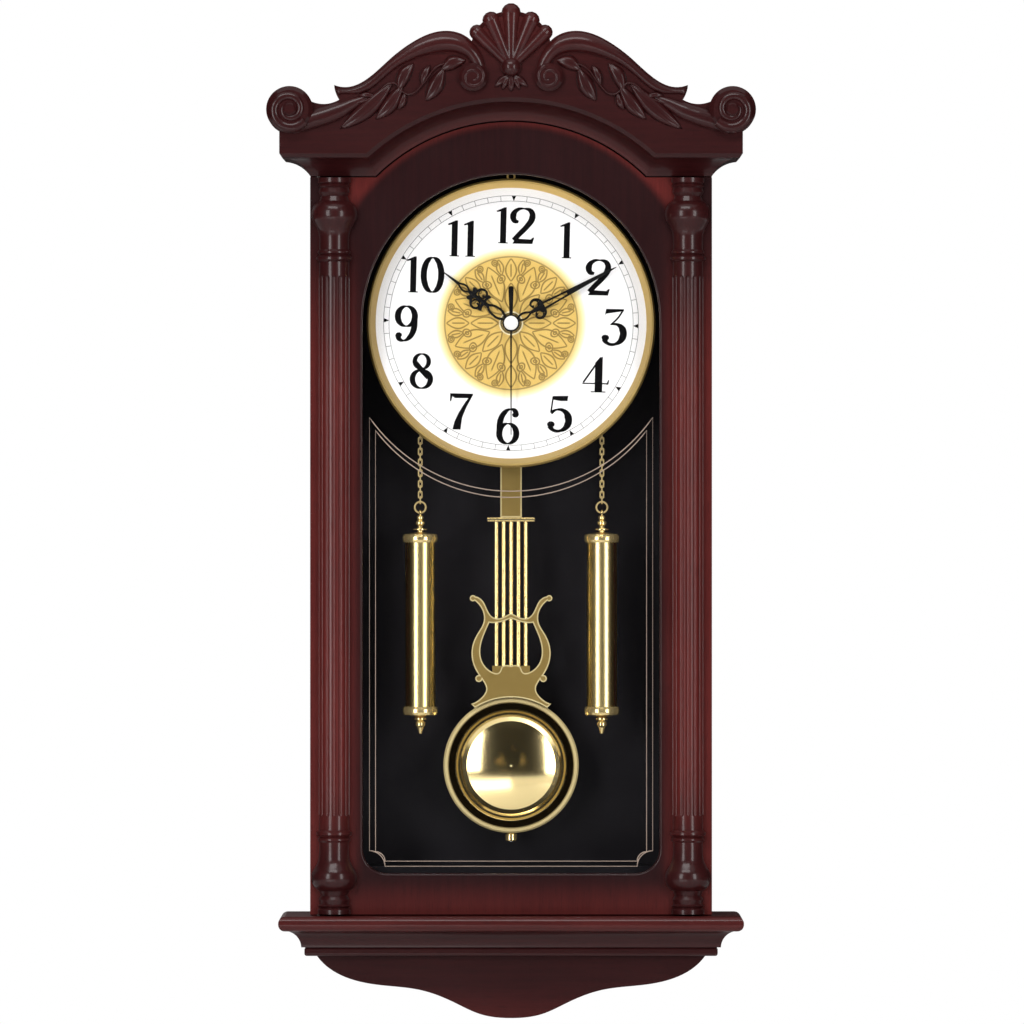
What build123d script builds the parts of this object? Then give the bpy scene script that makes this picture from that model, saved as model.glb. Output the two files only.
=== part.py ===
"""Pendulum wall clock: a wood case with a carved crown, a glazed door that carries two half
columns, a round dial, a lyre pendulum, two hanging cylinders and a quartz gear train."""
import os
from math import atan2, cos, degrees, hypot, radians, sin, sqrt

from build123d import *

# Frame: the origin is the hole of the hanger plate on the wall plane, +Z up, front along -Y.
# Heights are measured from the lowest edge of the apron, depths outwards from the wall.
hanger_height = 600.0

# Case
case_half_width = 148.6
case_depth = 72.0
board = 12.0
back_board_thickness = 5.0
back_rebate = 6.0
shelf_top = 76.0
crown_bottom = 623.0
floor_top = 112.0
head_rail_lap = 4.0
access_width = 84.0
access_height = 66.0
access_corner = 6.0

# Door, window and glass
door_gap = 1.0
door_thickness = 16.0
door_end_gap = 0.9
arch_gap = 1.2
arch_radius = 142.3
arch_centre = 522.0
window_half_width = 109.9
window_bottom = 107.0
window_corner = 18.0
window_centre = 514.6
window_edge_round = 1.5
glass_rebate_width = 5.0
glass_rebate_depth = 8.0
glass_thickness = 3.0
glass_clearance = 0.4
bead_height = 4.0
hinge_edge_inset = 6.0
hinge_face_inset = 5.0
hinge_pin_radius = 2.0
hinge_pin_length = 16.0
hinge_pin_clearance = 0.08
door_rear_round = 4.0
catch_length = 30.0
catch_width = 6.0
catch_thickness = 0.8
magnet_thickness = 5.0

# Columns
column_x = 130.8
shaft_radius = 11.3
bulge_radius = 16.8
large_ring_radius = 13.2
small_ring_radius = 12.2
neck_radius = 10.4
vase_height = 29.0
end_block_height = 17.0
ring_block_height = 16.0
plain_shaft = 12.0
flute_radius = 1.9
flute_count = 7
flute_step = 25.0

# Cornice moulding under the crown and the crown itself
cornice_cove_height = 11.0
cornice_cove_radius = 24.0
cornice_cove_reach = 18.5
cornice_bead = 2.2
cornice_bead_reach = 1.2
cornice_step = 3.0
cornice_block_top = 655.5
crown_reach = 22.4
crown_board_thickness = 31.0
volute_overhang = 14.8
volute_z = 671.5
volute_radius = 17.2
volute_eye_radius = 5.2
volute_eye_height = 2.4
scroll_relief = 6.0
volute_bevel = 3.0
inner_scroll_x = 28.0
inner_scroll_z = 695.5
inner_scroll_radius = 10.4
inner_scroll_relief = 5.2
inner_scroll_bevel = 2.0
scroll_bow = 0.42
pediment_top = 744.0
shell_back_x = 22.0
shell_back_z = 735.0
valley_x = 126.5
valley_z = 678.9
valley_lip_x = 129.2
valley_lip_z = 683.5
neck_z = 675.6
crest_line = [(130.5, 689.6), (116.7, 688.8), (102.0, 697.3), (88.5, 709.5), (72.6, 721.3), (58.3, 728.0),
              (48.2, 729.6), (38.3, 728.0), (29.0, 722.0)]
crest_sections = [((129.6, 689.2), (127.4, 681.9)), ((115.8, 687.9), (112.0, 683.2)),
                  ((102.6, 696.2), (97.5, 691.0)), ((87.2, 710.2), (80.5, 704.4)),
                  ((68.0, 723.4), (63.5, 711.2)), ((48.4, 729.0), (46.5, 713.8)),
                  ((34.0, 725.0), (35.6, 711.6)), ((23.0, 714.5), (30.0, 706.0)),
                  ((18.4, 700.5), (25.0, 699.5))]
shell_foot_z = 703.0
shell_foot_radius = 3.2
shell_fan_relief = 3.0
shell_lobes = [(0, 742.8, 7.2), (14.6, 737.2, 6.6), (25.0, 728.4, 5.8)]
shell_boss_radius = 7.5

# Shelf and apron
shelf_reach = 23.2
shelf_thickness = 11.0
base_cove_top_reach = 16.0
base_cove_bottom_reach = 6.5
base_cove_height = 12.2
base_cove_radius = 13.0
base_bead_reach = 4.2
base_bead_height = 6.5
apron_inset = 4.8
apron_thickness = 18.0

# Hanger plate
hanger_width = 46.0
hanger_plate_height = 30.0
hanger_thickness = 1.5
hanger_hole_radius = 4.0
hanger_head_radius = 8.0
hanger_fixing_radius = 1.8
hanger_fixing_spacing = 34.0

# Dial and bezel
dial_z = 514.8
dial_face_depth = 60.0
dial_plate_thickness = 0.8
dial_board_thickness = 6.0
dial_board_inset = 1.5
bezel_radius = 107.2
bezel_width = 6.7
bezel_height = 7.0
bezel_lip = 1.2
bezel_bevel = 1.4
pillar_radius = 6.0
pillar_circle = 84.0
pillar_angle = 20.0
chain_hook_x = 67.5
chain_hook_drop = 62.0
chain_hook_wire = 0.7
chain_hook_reach = 4.4
chain_hook_head = 1.6

# Movement housing
movement_half_width = 29.0
movement_top = 32.0
movement_bottom = -32.0
movement_wall = 1.5
movement_inside = 13.0
movement_corner = 3.0
drive_box_half_width = 14.0
drive_box_drop = 22.0
bush_radius = 4.0
bush_bore = 2.3
bush_nut_height = 2.4
bush_nut_flats = 12.0
bush_washer_radius = 8.0
bush_washer_height = 0.8

# Gear train: tooth counts, modules and the layers from front to back
tooth_count = {"centre": 64, "third_pinion": 8, "third": 60, "second_pinion": 8, "second": 60,
               "step_pinion": 10, "step": 40, "rotor_pinion": 8,
               "cannon": 12, "motion": 36, "motion_pinion": 10, "hour": 40}
third_distance = 12.92
motion_distance = 13.44
step_distance = 13.3
rotor_distance = 9.6
third_direction = 140.0
motion_direction = -5.0
step_direction = 60.0
rotor_direction = 20.0
gear_thickness = 1.2
layer_pitch = 1.7
first_layer = 0.6
arbor_radius = 0.6
pivot_radius = 0.45
pivot_length = 1.0
pivot_clearance = 0.05
second_arbor_radius = 0.45
minute_pipe_bore = 0.52
minute_pipe_radius = 1.2
hour_pipe_bore = 1.28
hour_pipe_radius = 2.2
rotor_radius = 3.0
rotor_height = 3.0
knob_radius = 6.0
knob_height = 4.5
knob_stem_radius = 1.2
knob_grips = 12
knob_grip_radius = 0.7

# Motor, circuit and battery
battery_radius = 7.15
battery_length = 50.0
battery_drop = 23.0
coil_radius = 3.2
coil_length = 12.0
coil_core_radius = 1.4
coil_rise = 25.5
stator_thickness = 1.0
stator_arm = 3.0
stator_x = 18.0
stator_rim = 2.4
stator_post_radius = 1.3
board_thickness = 1.0
crystal_width = 2.0
crystal_length = 6.0

# Hands, stored at ten past ten
hour_hand_length = 63.0
minute_hand_length = 88.5
second_hand_length = 83.0
second_tail_length = 27.5
second_tail_round = 2.0
hour_hand_angle = 307.0
minute_hand_angle = 62.0
second_hand_angle = 180.0
hand_thickness = 0.6
hand_spacing = 2.2
hour_hand_standoff = 2.6
hand_hub_radius = 7.4
cap_radius = 5.2
cap_height = 2.4

# Pendulum
pendulum_pivot_drop = 42.0
arm_pin_radius = 1.5
arm_thickness = 2.4
arm_width = 9.0
arm_length = 22.0
arm_gap = 0.4
strip_half_width = 7.9
strip_thickness = 0.8
crossbar_z = 369.0
crossbar_width = 35.2
crossbar_height = 3.4
crossbar_thickness = 5.0
rod_count = 5
rod_pitch = 5.5
rod_radius = 1.6
lyre_tip_z = 309.0
lyre_thickness = 1.2
lyre_base_top = 260.0
bob_z = 185.9
bob_radius = 50.4
bob_ring_width = 4.0
bob_dish_radius = 41.2
bob_dome_radius = 33.0
bob_depth = 9.0
bob_web = 1.4
bob_seat_gap = 0.3
hanger_rod_radius = 1.3
hanger_rod_bottom = 129.0
nut_radius = 4.2
nut_height = 6.0
nut_bevel = 0.8

# Hanging cylinders and their chains
weight_x = chain_hook_x
weight_radius = 11.2
weight_cap_radius = 13.0
weight_top = 355.0
weight_bottom = 227.0
weight_cap_height = 6.0
weight_cap_bevel = 0.6
weight_top_finial = 14.0
weight_bottom_finial = 14.0
weight_ring_radius = 4.1
weight_ring_wire = 0.7
weight_eye_radius = 2.2
weight_eye_wire = 0.8
link_wire = 0.45
link_half_width = 1.7
link_half_length = 3.0
link_corner = 0.9
link_play = 0.12

# Values that follow from the sizes above
door_back = case_depth + door_gap
door_face = door_back + door_thickness
crown_face = door_face + crown_reach
crown_back = crown_face - crown_board_thickness
volute_x = case_half_width + volute_overhang
bezel_sight_radius = bezel_radius - bezel_width
dial_board_radius = bezel_sight_radius - dial_board_inset
dial_plate_back = dial_face_depth - dial_plate_thickness
dial_board_back = dial_plate_back - dial_board_thickness
weight_depth = dial_board_back - chain_hook_reach / 2
inside_front = dial_board_back - movement_wall
inside_back = inside_front - movement_inside
movement_back = inside_back - movement_wall
inner_half_width = case_half_width - board
hinge_x = -case_half_width + hinge_edge_inset
hinge_depth = door_face - hinge_face_inset


# Shared ways of building


def front_prism(drawing, near, far):
    """Extrude a front-view drawing (x, height) between two depths out from the wall."""
    return extrude(Plane.XZ.offset(near) * drawing, far - near)


def side_prism(drawing, low, high):
    """Extrude a side-view drawing (depth, height) between two x places."""
    side = Plane((low, 0, 0), x_dir=(0, -1, 0), z_dir=(1, 0, 0))
    outward = Plane((low, 0, 0), x_dir=(0, -1, 0), z_dir=(-1, 0, 0))
    plane = outward if outward.y_dir.Z > 0 else side
    return extrude(plane * drawing, plane.z_dir.X * (high - low))


def turned_upright(profile, x, depth):
    """Revolve a (radius, height) profile about an upright axis."""
    return Pos(x, -depth, 0) * revolve(Plane.XZ * profile, Axis.Z)


def turned_facing(profile, x, z):
    """Revolve a (radius, depth) profile about an axis square to the wall."""
    facing = Plane((0, 0, 0), x_dir=(1, 0, 0), z_dir=(0, 0, -1))
    return Pos(x, 0, z) * revolve(facing * profile, Axis.Y)


def facing_rod(radius, near, far, x, z):
    """A round bar square to the wall between two depths."""
    return front_prism(Pos(x, z) * Circle(radius), near, far)


def facing_pipe(radius, bore, near, far, x, z):
    """A round pipe square to the wall between two depths."""
    return front_prism(Pos(x, z) * (Circle(radius) - Circle(bore)), near, far)


def box_between(x0, x1, depth0, depth1, z0, z1):
    """A box given by its limits, depths out from the wall."""
    return front_prism(Pos((x0 + x1) / 2, (z0 + z1) / 2) * Rectangle(x1 - x0, z1 - z0), depth0, depth1)


def closed(*edges):
    """A face from edges drawn end to end."""
    return make_face(Curve() + list(edges))


def dome_edge(radius, low, high):
    """Profile of a round cap whose centre lies on the axis, from its rim to its pole."""
    rise = high - low
    sphere = (radius ** 2 + rise ** 2) / (2 * rise)
    half = atan2(radius, sphere - rise) / 2
    return ThreePointArc((radius, low), (sphere * sin(half), high - sphere + sphere * cos(half)), (0, high))


def mirrored_points(half):
    """Right-hand points followed by their mirror images, from the right end to the left end."""
    return half + [(-x, z) for x, z in reversed(half) if x]


# Case


def build_case():
    side = box_between(inner_half_width, case_half_width, 0, case_depth, shelf_top, crown_bottom)
    side = side - back_rebate_space()
    access = Pos(0, dial_z + (movement_top + movement_bottom) / 2) * RectangleRounded(
        access_width, access_height, access_corner)
    back = Pos(0, (cornice_block_top + shelf_top) / 2) * Rectangle(
        2 * (inner_half_width + back_rebate), cornice_block_top - shelf_top)
    back_board = front_prism(back - access, 0, back_board_thickness)
    plate_space = front_prism(Pos(0, hanger_height) * hanger_outline(), 0, hanger_thickness)
    nail_space = facing_rod(hanger_head_radius, 0, back_board_thickness, 0, hanger_height)
    top = box_between(-inner_half_width, inner_half_width, back_board_thickness, case_depth,
                      cornice_block_top - board, cornice_block_top)
    rail_top = arch_centre + arch_radius + head_rail_lap
    top = top + box_between(-inner_half_width, inner_half_width, case_depth - board, case_depth,
                            cornice_block_top, rail_top)
    floor = box_between(-inner_half_width, inner_half_width, back_board_thickness, case_depth,
                        floor_top - board, floor_top)
    magnet = catch_block(case_depth - magnet_thickness, case_depth)
    return {"case_side_right": side - magnet,
            "case_side_left": mirror(side, Plane.YZ),
            "back_board": back_board - plate_space - nail_space,
            "case_ends": Compound(children=[top.solid(), floor.solid()]),
            "catch_magnet": magnet}


def back_rebate_space():
    """The rebate that takes the back board, along the right-hand side and the crown's side."""
    return box_between(inner_half_width, inner_half_width + back_rebate, 0, back_board_thickness,
                       shelf_top, cornice_block_top)


def catch_block(near, far):
    """Half of the door's magnetic catch, on the edge away from the hinge."""
    middle_x = case_half_width - board / 2
    middle_z = (shelf_top + crown_bottom) / 2
    return box_between(middle_x - catch_width / 2, middle_x + catch_width / 2, near, far,
                       middle_z - catch_length / 2, middle_z + catch_length / 2)


def hanger_outline():
    plate = Rectangle(hanger_width, hanger_plate_height)
    return fillet(plate.vertices(), access_corner)


def build_hanger():
    plate = hanger_outline() - Circle(hanger_hole_radius)
    fixings = [Pos(side * hanger_fixing_spacing / 2, 0) * Circle(hanger_fixing_radius) for side in (-1, 1)]
    return {"hanger_plate": front_prism(Pos(0, hanger_height) * (plate - fixings), 0, hanger_thickness)}


# Cornice, crown and carving


def cove_edges(start):
    """Bead, cove and lip of the cornice as (reach, height) edges that stand on a start point."""
    x, z = start
    foot = z + cornice_bead
    cove_x = x + cornice_bead_reach + cornice_cove_reach
    cove_top = foot + cornice_cove_height
    bead = Line((x, z), (x + cornice_bead_reach, foot))
    cove = RadiusArc((x + cornice_bead_reach, foot), (cove_x, cove_top), cornice_cove_radius)
    lip = Line((cove_x, cove_top), (x + crown_reach, cove_top + cornice_step))
    return bead, cove, lip


def front_of_cornice():
    """What is cut away in front of the cove and below it, along the straight runs and round the arch."""
    beyond = 2 * crown_reach
    step = cornice_bead + cornice_cove_height + cornice_step
    far = 2 * crown_board_thickness
    low = -board
    rest = [Line((crown_reach, step), (beyond, step)),
            Line((beyond, step), (beyond, low)),
            Line((beyond, low), (-far, low)),
            Line((-far, low), (-far, 0)),
            Line((-far, 0), (0, 0))]
    straight = side_prism(Pos(door_face, crown_bottom) * closed(*cove_edges((0, 0)), *rest),
                          -2 * case_half_width, 2 * case_half_width)
    inward = -arch_radius
    ring = [Line((crown_reach, step), (beyond, step)),
            Line((beyond, step), (beyond, inward)),
            Line((beyond, inward), (-far, inward)),
            Line((-far, inward), (-far, 0)),
            Line((-far, 0), (0, 0))]
    swing = Plane((0, 0, 0), x_dir=(1, 0, 0), z_dir=(0, 0, -1))
    section = Rot(0, 0, 90) * closed(*cove_edges((0, 0)), *ring)
    across = Pos(arch_radius, door_face) * mirror(section, Plane.YZ)
    arch = Pos(0, 0, arch_centre) * revolve(swing * across, Axis.Y)
    return straight, arch


def cornice_silhouette(low):
    """Front view of one end of the cornice, with the cove returned along the side."""
    outer = case_half_width + crown_reach
    step = crown_bottom + cornice_bead + cornice_cove_height + cornice_step
    return closed(Line((0, low), (case_half_width, low)),
                  Line((case_half_width, low), (case_half_width, crown_bottom)),
                  *cove_edges((case_half_width, crown_bottom)),
                  Line((outer, step), (outer, cornice_block_top)),
                  Line((outer, cornice_block_top), (0, cornice_block_top)),
                  Line((0, cornice_block_top), (0, low)))


def pediment_silhouette():
    """Front view of the scrolled pediment above the cornice, right half."""
    valley = (valley_x, valley_z)
    summit = (0, pediment_top)
    crest = Spline(*crest_line)
    volute_side = (volute_x - volute_radius * cos(radians(20)), volute_z + volute_radius * sin(radians(20)))
    shell_back = ThreePointArc(crest_line[-1], (shell_back_x, shell_back_z), summit)
    field = closed(Line((0, cornice_block_top), (volute_x, cornice_block_top)),
                   Line((volute_x, cornice_block_top), volute_side),
                   Spline(volute_side, ((volute_side[0] + valley[0]) / 2, neck_z), valley),
                   ThreePointArc(valley, (valley_lip_x, valley_lip_z), crest_line[0]),
                   crest,
                   shell_back,
                   Line(summit, (0, cornice_block_top)))
    return field + Pos(volute_x, volute_z) * Circle(volute_radius)


def build_crown():
    straight, arch = front_of_cornice()
    half = cornice_silhouette(crown_bottom - board / 2) + pediment_silhouette()
    outline = half + mirror(half, Plane.YZ)
    pin_hole = Pos(hinge_x, -hinge_depth, crown_bottom) * Cylinder(
        hinge_pin_radius + hinge_pin_clearance, hinge_pin_length)
    board_solid = front_prism(outline, crown_back, crown_face) - straight - arch - pin_hole
    inside = Rectangle(inner_half_width, 2 * cornice_block_top)
    end = cornice_silhouette(crown_bottom - board) - Pos(inner_half_width / 2, cornice_block_top / 2) * inside
    end = end - Pos(case_half_width, crown_bottom - board) * Rectangle(2 * board + 2, 2 * board)
    side = front_prism(end, 0, crown_back) - back_rebate_space()
    return {"crown_board": board_solid,
            "crown_sides": Compound(children=[side.solid(), mirror(side.solid(), Plane.YZ)])}


def crest_roll():
    """Rounded roll along the crest, lofted through bowed sections from the beak to the inner scroll."""
    sections = []
    for high, low in crest_sections:
        rise = min(scroll_relief, scroll_bow * hypot(high[0] - low[0], high[1] - low[1]))
        start = Vector(high[0], -crown_face, high[1])
        end = Vector(low[0], -crown_face, low[1])
        bow = ThreePointArc(start, (start + end) / 2 - Vector(0, rise, 0), end)
        sections.append(make_face([bow, Line(end, start)]))
    return loft(sections)


def build_scrolls():
    scroll = facing_rod(inner_scroll_radius, crown_face, crown_face + inner_scroll_relief,
                        inner_scroll_x, inner_scroll_z)
    scroll = chamfer(scroll.edges().sort_by(Axis.Y)[0], inner_scroll_bevel)
    roll = crest_roll() + scroll
    volute_front = crown_face + scroll_relief + 1.0
    volute = facing_rod(volute_radius, crown_face, volute_front, volute_x, volute_z)
    volute = chamfer(volute.edges().sort_by(Axis.Y)[0], volute_bevel)
    eye = facing_rod(volute_eye_radius, volute_front, volute_front + volute_eye_height, volute_x, volute_z)
    eye = chamfer(eye.edges().sort_by(Axis.Y)[0], 0.6 * volute_eye_height)
    volute = (volute + eye).solid()
    roll = roll.solid()
    return {"crest_scrolls": Compound(children=[roll, mirror(roll, Plane.YZ)]),
            "volutes": Compound(children=[volute, mirror(volute, Plane.YZ)])}


def tapered_lobe(x, z, radius):
    """One lobe of the shell, a round-ended taper lying on the crown's face."""
    length = hypot(x, z - shell_foot_z)
    lean = degrees(atan2(x, z - shell_foot_z))
    round_end = [(radius * cos(radians(turn)), length + radius * sin(radians(turn)))
                 for turn in (0, 25, 50, 75)]
    lobe = revolve(Plane.XZ * turned_outline([(shell_foot_radius, 0), *round_end]), Axis.Z)
    return Pos(0, -crown_face, shell_foot_z) * Rot(0, lean, 0) * lobe


def build_shell():
    shell = Pos(0, -crown_face, shell_foot_z) * Sphere(shell_boss_radius)
    shell = shell + tapered_lobe(0, *shell_lobes[0][1:])
    for x, z, radius in shell_lobes[1:]:
        for side in (-1, 1):
            shell = shell + tapered_lobe(side * x, z, radius)
    rim = [(x, z) for x, z, radius in shell_lobes]
    left_rim = [(-x, z) for x, z in reversed(rim[1:])]
    fan = make_face(Polyline((-shell_foot_radius, shell_foot_z), *left_rim, *rim,
                             (shell_foot_radius, shell_foot_z), close=True))
    reach = 2 * shell_foot_z
    front = box_between(-reach, reach, crown_face, crown_face + reach, 0, reach)
    return {"shell_finial": (shell & front) + front_prism(fan, crown_face, crown_face + shell_fan_relief)}


# Shelf, base moulding and apron


def offset_box(reach, z0, z1):
    """A slab that stands out from the case by one reach on the front and both sides."""
    half = case_half_width + reach
    return box_between(-half, half, 0, door_face + reach, z0, z1)


def build_base():
    shelf = offset_box(shelf_reach, shelf_top - shelf_thickness, shelf_top)
    nose = [edge for edge in shelf.edges() if edge.center().Y < -1 and abs(edge.tangent_at(0.5).Z) < 0.5]
    shelf = fillet(nose, 0.46 * shelf_thickness)
    pin_hole = Pos(hinge_x, -hinge_depth, shelf_top) * Cylinder(
        hinge_pin_radius + hinge_pin_clearance, hinge_pin_length)
    cove_top = shelf_top - shelf_thickness
    cove_low = cove_top - base_cove_height
    bead_low = cove_low - base_bead_height
    cove = closed(Line((0, cove_low), (base_cove_bottom_reach, cove_low)),
                  RadiusArc((base_cove_bottom_reach, cove_low), (base_cove_top_reach, cove_top),
                            base_cove_radius),
                  Line((base_cove_top_reach, cove_top), (0, cove_top)),
                  Line((0, cove_top), (0, cove_low)))
    long = 3 * case_half_width
    front = side_prism(Pos(door_face, 0) * cove, -long, long)
    front = front + box_between(-long, long, 0, door_face, cove_low, cove_top)
    side = front_prism(Pos(case_half_width, 0) * cove, 0, 2 * door_face)
    side = side + mirror(side, Plane.YZ) + box_between(-case_half_width, case_half_width, 0, 2 * door_face,
                                                      cove_low, cove_top)
    bead = offset_box(base_bead_reach, bead_low, cove_low)
    soft = [edge for edge in bead.edges() if edge.center().Y < -1 and abs(edge.tangent_at(0.5).Z) < 0.5]
    bead = fillet(soft, 0.3 * base_bead_height)
    half = [(case_half_width - apron_inset, bead_low), (136.0, 38.0), (123.2, 30.6), (98.1, 24.6),
            (67.1, 20.8), (42.0, 11.6), (23.0, 3.0), (0, 0)]
    line = Spline(*mirrored_points(half))
    apron = closed(line, Line(line @ 1, line @ 0))
    apron_face = door_face - apron_inset
    return {"shelf": shelf - pin_hole,
            "base_moulding": (front & side) + bead,
            "apron": front_prism(apron, apron_face - apron_thickness, apron_face)}


# Door with its glass and half columns


def window_outline(grow):
    """Arched window, made larger all round by grow."""
    half = window_half_width + grow
    low = window_bottom - grow
    corner = window_corner + grow
    return closed(Line((-half, window_centre), (-half, low + corner)),
                  RadiusArc((-half, low + corner), (-half + corner, low), -corner),
                  Line((-half + corner, low), (half - corner, low)),
                  RadiusArc((half - corner, low), (half, low + corner), -corner),
                  Line((half, low + corner), (half, window_centre)),
                  ThreePointArc((half, window_centre), (0, window_centre + half), (-half, window_centre)))


def door_outline():
    low = shelf_top + door_end_gap
    high = crown_bottom - door_end_gap
    radius = arch_radius - arch_gap
    panel = Pos(0, (low + high) / 2) * Rectangle(2 * case_half_width, high - low)
    return panel + Pos(0, arch_centre) * Circle(radius)


def build_door():
    frame = front_prism(door_outline(), door_back, door_face)
    hole = front_prism(window_outline(0), door_back, door_face)
    frame = frame - hole
    rim = [edge for edge in frame.edges()
           if abs(edge.center().Y + door_face) < 0.01 and abs(edge.center().X) < window_half_width + 1
           and window_bottom - 1 < edge.center().Z < window_centre + window_half_width + 1
           and edge.bounding_box().max.Z < window_centre + window_half_width + 1]
    frame = fillet(rim, window_edge_round)
    back_edge = frame.edges().filter_by(Axis.Z).filter_by(
        lambda edge: abs(edge.center().X + case_half_width) < 0.1 and abs(edge.center().Y + door_back) < 0.1)
    frame = fillet(back_edge, door_rear_round)
    frame = frame - front_prism(window_outline(glass_rebate_width), door_back, door_back + glass_rebate_depth)
    pin_seat = Cylinder(hinge_pin_radius, hinge_pin_length)
    ends = [shelf_top, crown_bottom]
    pins = [Pos(hinge_x, -hinge_depth, z) * pin_seat for z in ends]
    catch_seat = catch_block(door_back, door_back + catch_thickness)
    for pin in pins:
        frame = frame - pin
    glass_front = door_back + glass_rebate_depth
    glass_back = glass_front - glass_thickness
    glass_line = window_outline(glass_rebate_width - glass_clearance)
    glass = front_prism(glass_line, glass_back, glass_front)
    bead = front_prism(glass_line - window_outline(0), glass_back - bead_height, glass_back)
    return {"door_frame": frame - catch_seat,
            "door_glass": glass,
            "glass_bead": bead,
            "door_hardware": Compound(children=[shorter_pin(pin) for pin in pins] + [catch_seat])}


def shorter_pin(pin):
    """A hinge pin that stops short of the blind end of its seat in the case."""
    spare = hinge_pin_length / 8
    z = pin.center().Z
    lower = z < (shelf_top + crown_bottom) / 2
    case_end = z - hinge_pin_length / 2 if lower else z + hinge_pin_length / 2 - spare
    wide = 4 * hinge_pin_radius
    cut = Pos(hinge_x, -hinge_depth, case_end + spare / 2) * Box(wide, wide, spare)
    return (pin - cut).solid()


def vase_end(foot, up):
    """Turned end of a column as (radius, height) edges, from its outer end towards the shaft."""
    r1, r2 = small_ring_radius, large_ring_radius
    h1 = end_block_height
    h2 = h1 + vase_height
    h3 = h2 + ring_block_height
    r3 = neck_radius + 0.7
    foot_profile = [(r1, 0), (r1, 3.2), (r1 - 1.4, 4.6), (r1, 6.0), (r1 - 1.4, 7.4), (r1 - 0.6, 10.6),
                    (neck_radius - 0.6, 13.6), (r3, h1)]
    ring_profile = [(r3, h2), (r3, h2 + 7.0), (r1, h2 + 8.4), (r1, h2 + 9.6),
                    (r3, h2 + 11.0), (r2, h2 + 12.6), (r2, h2 + 14.4), (shaft_radius, h3)]
    belly = Spline((r3, foot + up * h1), (bulge_radius, foot + up * (h1 + 0.42 * vase_height)),
                   (r3, foot + up * h2), tangents=[(1.3, up * 0.5), (0, up)])
    return [Polyline(*[(radius, foot + up * height) for radius, height in foot_profile]), belly,
            Polyline(*[(radius, foot + up * height) for radius, height in ring_profile])]


def build_columns():
    low = shelf_top + door_end_gap + 0.4
    high = crown_bottom - door_end_gap - 0.4
    bottom = vase_end(low, 1)
    top = vase_end(high, -1)
    shaft_low = low + end_block_height + vase_height + ring_block_height
    shaft_high = high - end_block_height - vase_height - ring_block_height
    profile = closed(Line((0, low), (small_ring_radius, low)), *bottom,
                     Line((shaft_radius, shaft_low), (shaft_radius, shaft_high)), *top,
                     Line((small_ring_radius, high), (0, high)), Line((0, high), (0, low)))
    column = revolve(Plane.XZ * profile, Axis.Z)
    flute_low = shaft_low + plain_shaft
    flute_high = shaft_high - plain_shaft
    groove = Cylinder(flute_radius, flute_high - flute_low)
    tip = Sphere(flute_radius)
    middle = (flute_low + flute_high) / 2
    for index in range(flute_count):
        turn = (index - (flute_count - 1) / 2) * flute_step
        x = (shaft_radius + 0.4 * flute_radius) * sin(radians(turn))
        y = -(shaft_radius + 0.4 * flute_radius) * cos(radians(turn))
        column = column - Pos(x, y, middle) * groove
        column = column - Pos(x, y, flute_low) * tip - Pos(x, y, flute_high) * tip
    front = Pos(0, -bulge_radius, middle) * Box(4 * bulge_radius, 2 * bulge_radius, 2 * high)
    column = column & front
    return {"column_right": Pos(column_x, -door_face, 0) * column,
            "column_left": Pos(-column_x, -door_face, 0) * column}


# Dial group


def build_dial():
    hole = bush_radius + 0.1
    board_disc = facing_pipe(dial_board_radius, hole, dial_board_back, dial_plate_back, 0, dial_z)
    plate = facing_pipe(bezel_sight_radius + bezel_lip, hole, dial_plate_back, dial_face_depth, 0, dial_z)
    front = dial_face_depth + bezel_height
    seat = bezel_sight_radius + bezel_lip + 0.2
    ring = closed(Line((seat, dial_plate_back), (bezel_radius, dial_plate_back)),
                  Line((bezel_radius, dial_plate_back), (bezel_radius, front - 2 * bezel_bevel)),
                  Line((bezel_radius, front - 2 * bezel_bevel), (bezel_radius - bezel_bevel, front)),
                  Line((bezel_radius - bezel_bevel, front), (bezel_radius - 2 * bezel_bevel, front)),
                  Line((bezel_radius - 2 * bezel_bevel, front), (bezel_sight_radius, dial_face_depth)),
                  Line((bezel_sight_radius, dial_face_depth), (seat, dial_face_depth)),
                  Line((seat, dial_face_depth), (seat, dial_plate_back)))
    bezel = turned_facing(ring, 0, dial_z)
    pillars = []
    for side in (-1, 1):
        for turn in (-pillar_angle, pillar_angle):
            x = side * pillar_circle * cos(radians(turn))
            z = dial_z + pillar_circle * sin(radians(turn))
            pillars.append(facing_rod(pillar_radius, back_board_thickness, dial_board_back, x, z))
    hooks = []
    for side in (-1, 1):
        z = dial_z - chain_hook_drop
        back = dial_board_back - chain_hook_reach
        wire = facing_rod(chain_hook_wire, back, dial_board_back, side * chain_hook_x, z)
        head = facing_rod(chain_hook_head, back - chain_hook_wire, back, side * chain_hook_x, z)
        hooks.append((wire + head).solid())
    eye = Pos(0, -(dial_plate_back + 1.2), dial_z + bezel_radius + 1.6) * Rot(90, 0, 0) * wire_ring(2.6, 0.8)
    eye = eye - Pos(0, 0, dial_z) * Rot(90, 0, 0) * Cylinder(bezel_radius, 4 * case_depth)
    return {"dial_board": board_disc,
            "dial_plate": plate,
            "bezel": Compound(children=[bezel.solid(), eye.solid()]),
            "dial_pillars": Compound(children=pillars),
            "chain_hooks": Compound(children=hooks)}


# Movement


def axis_place(distance, direction, start=(0.0, 0.0)):
    return (start[0] + distance * cos(radians(direction)), start[1] + distance * sin(radians(direction)))


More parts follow.
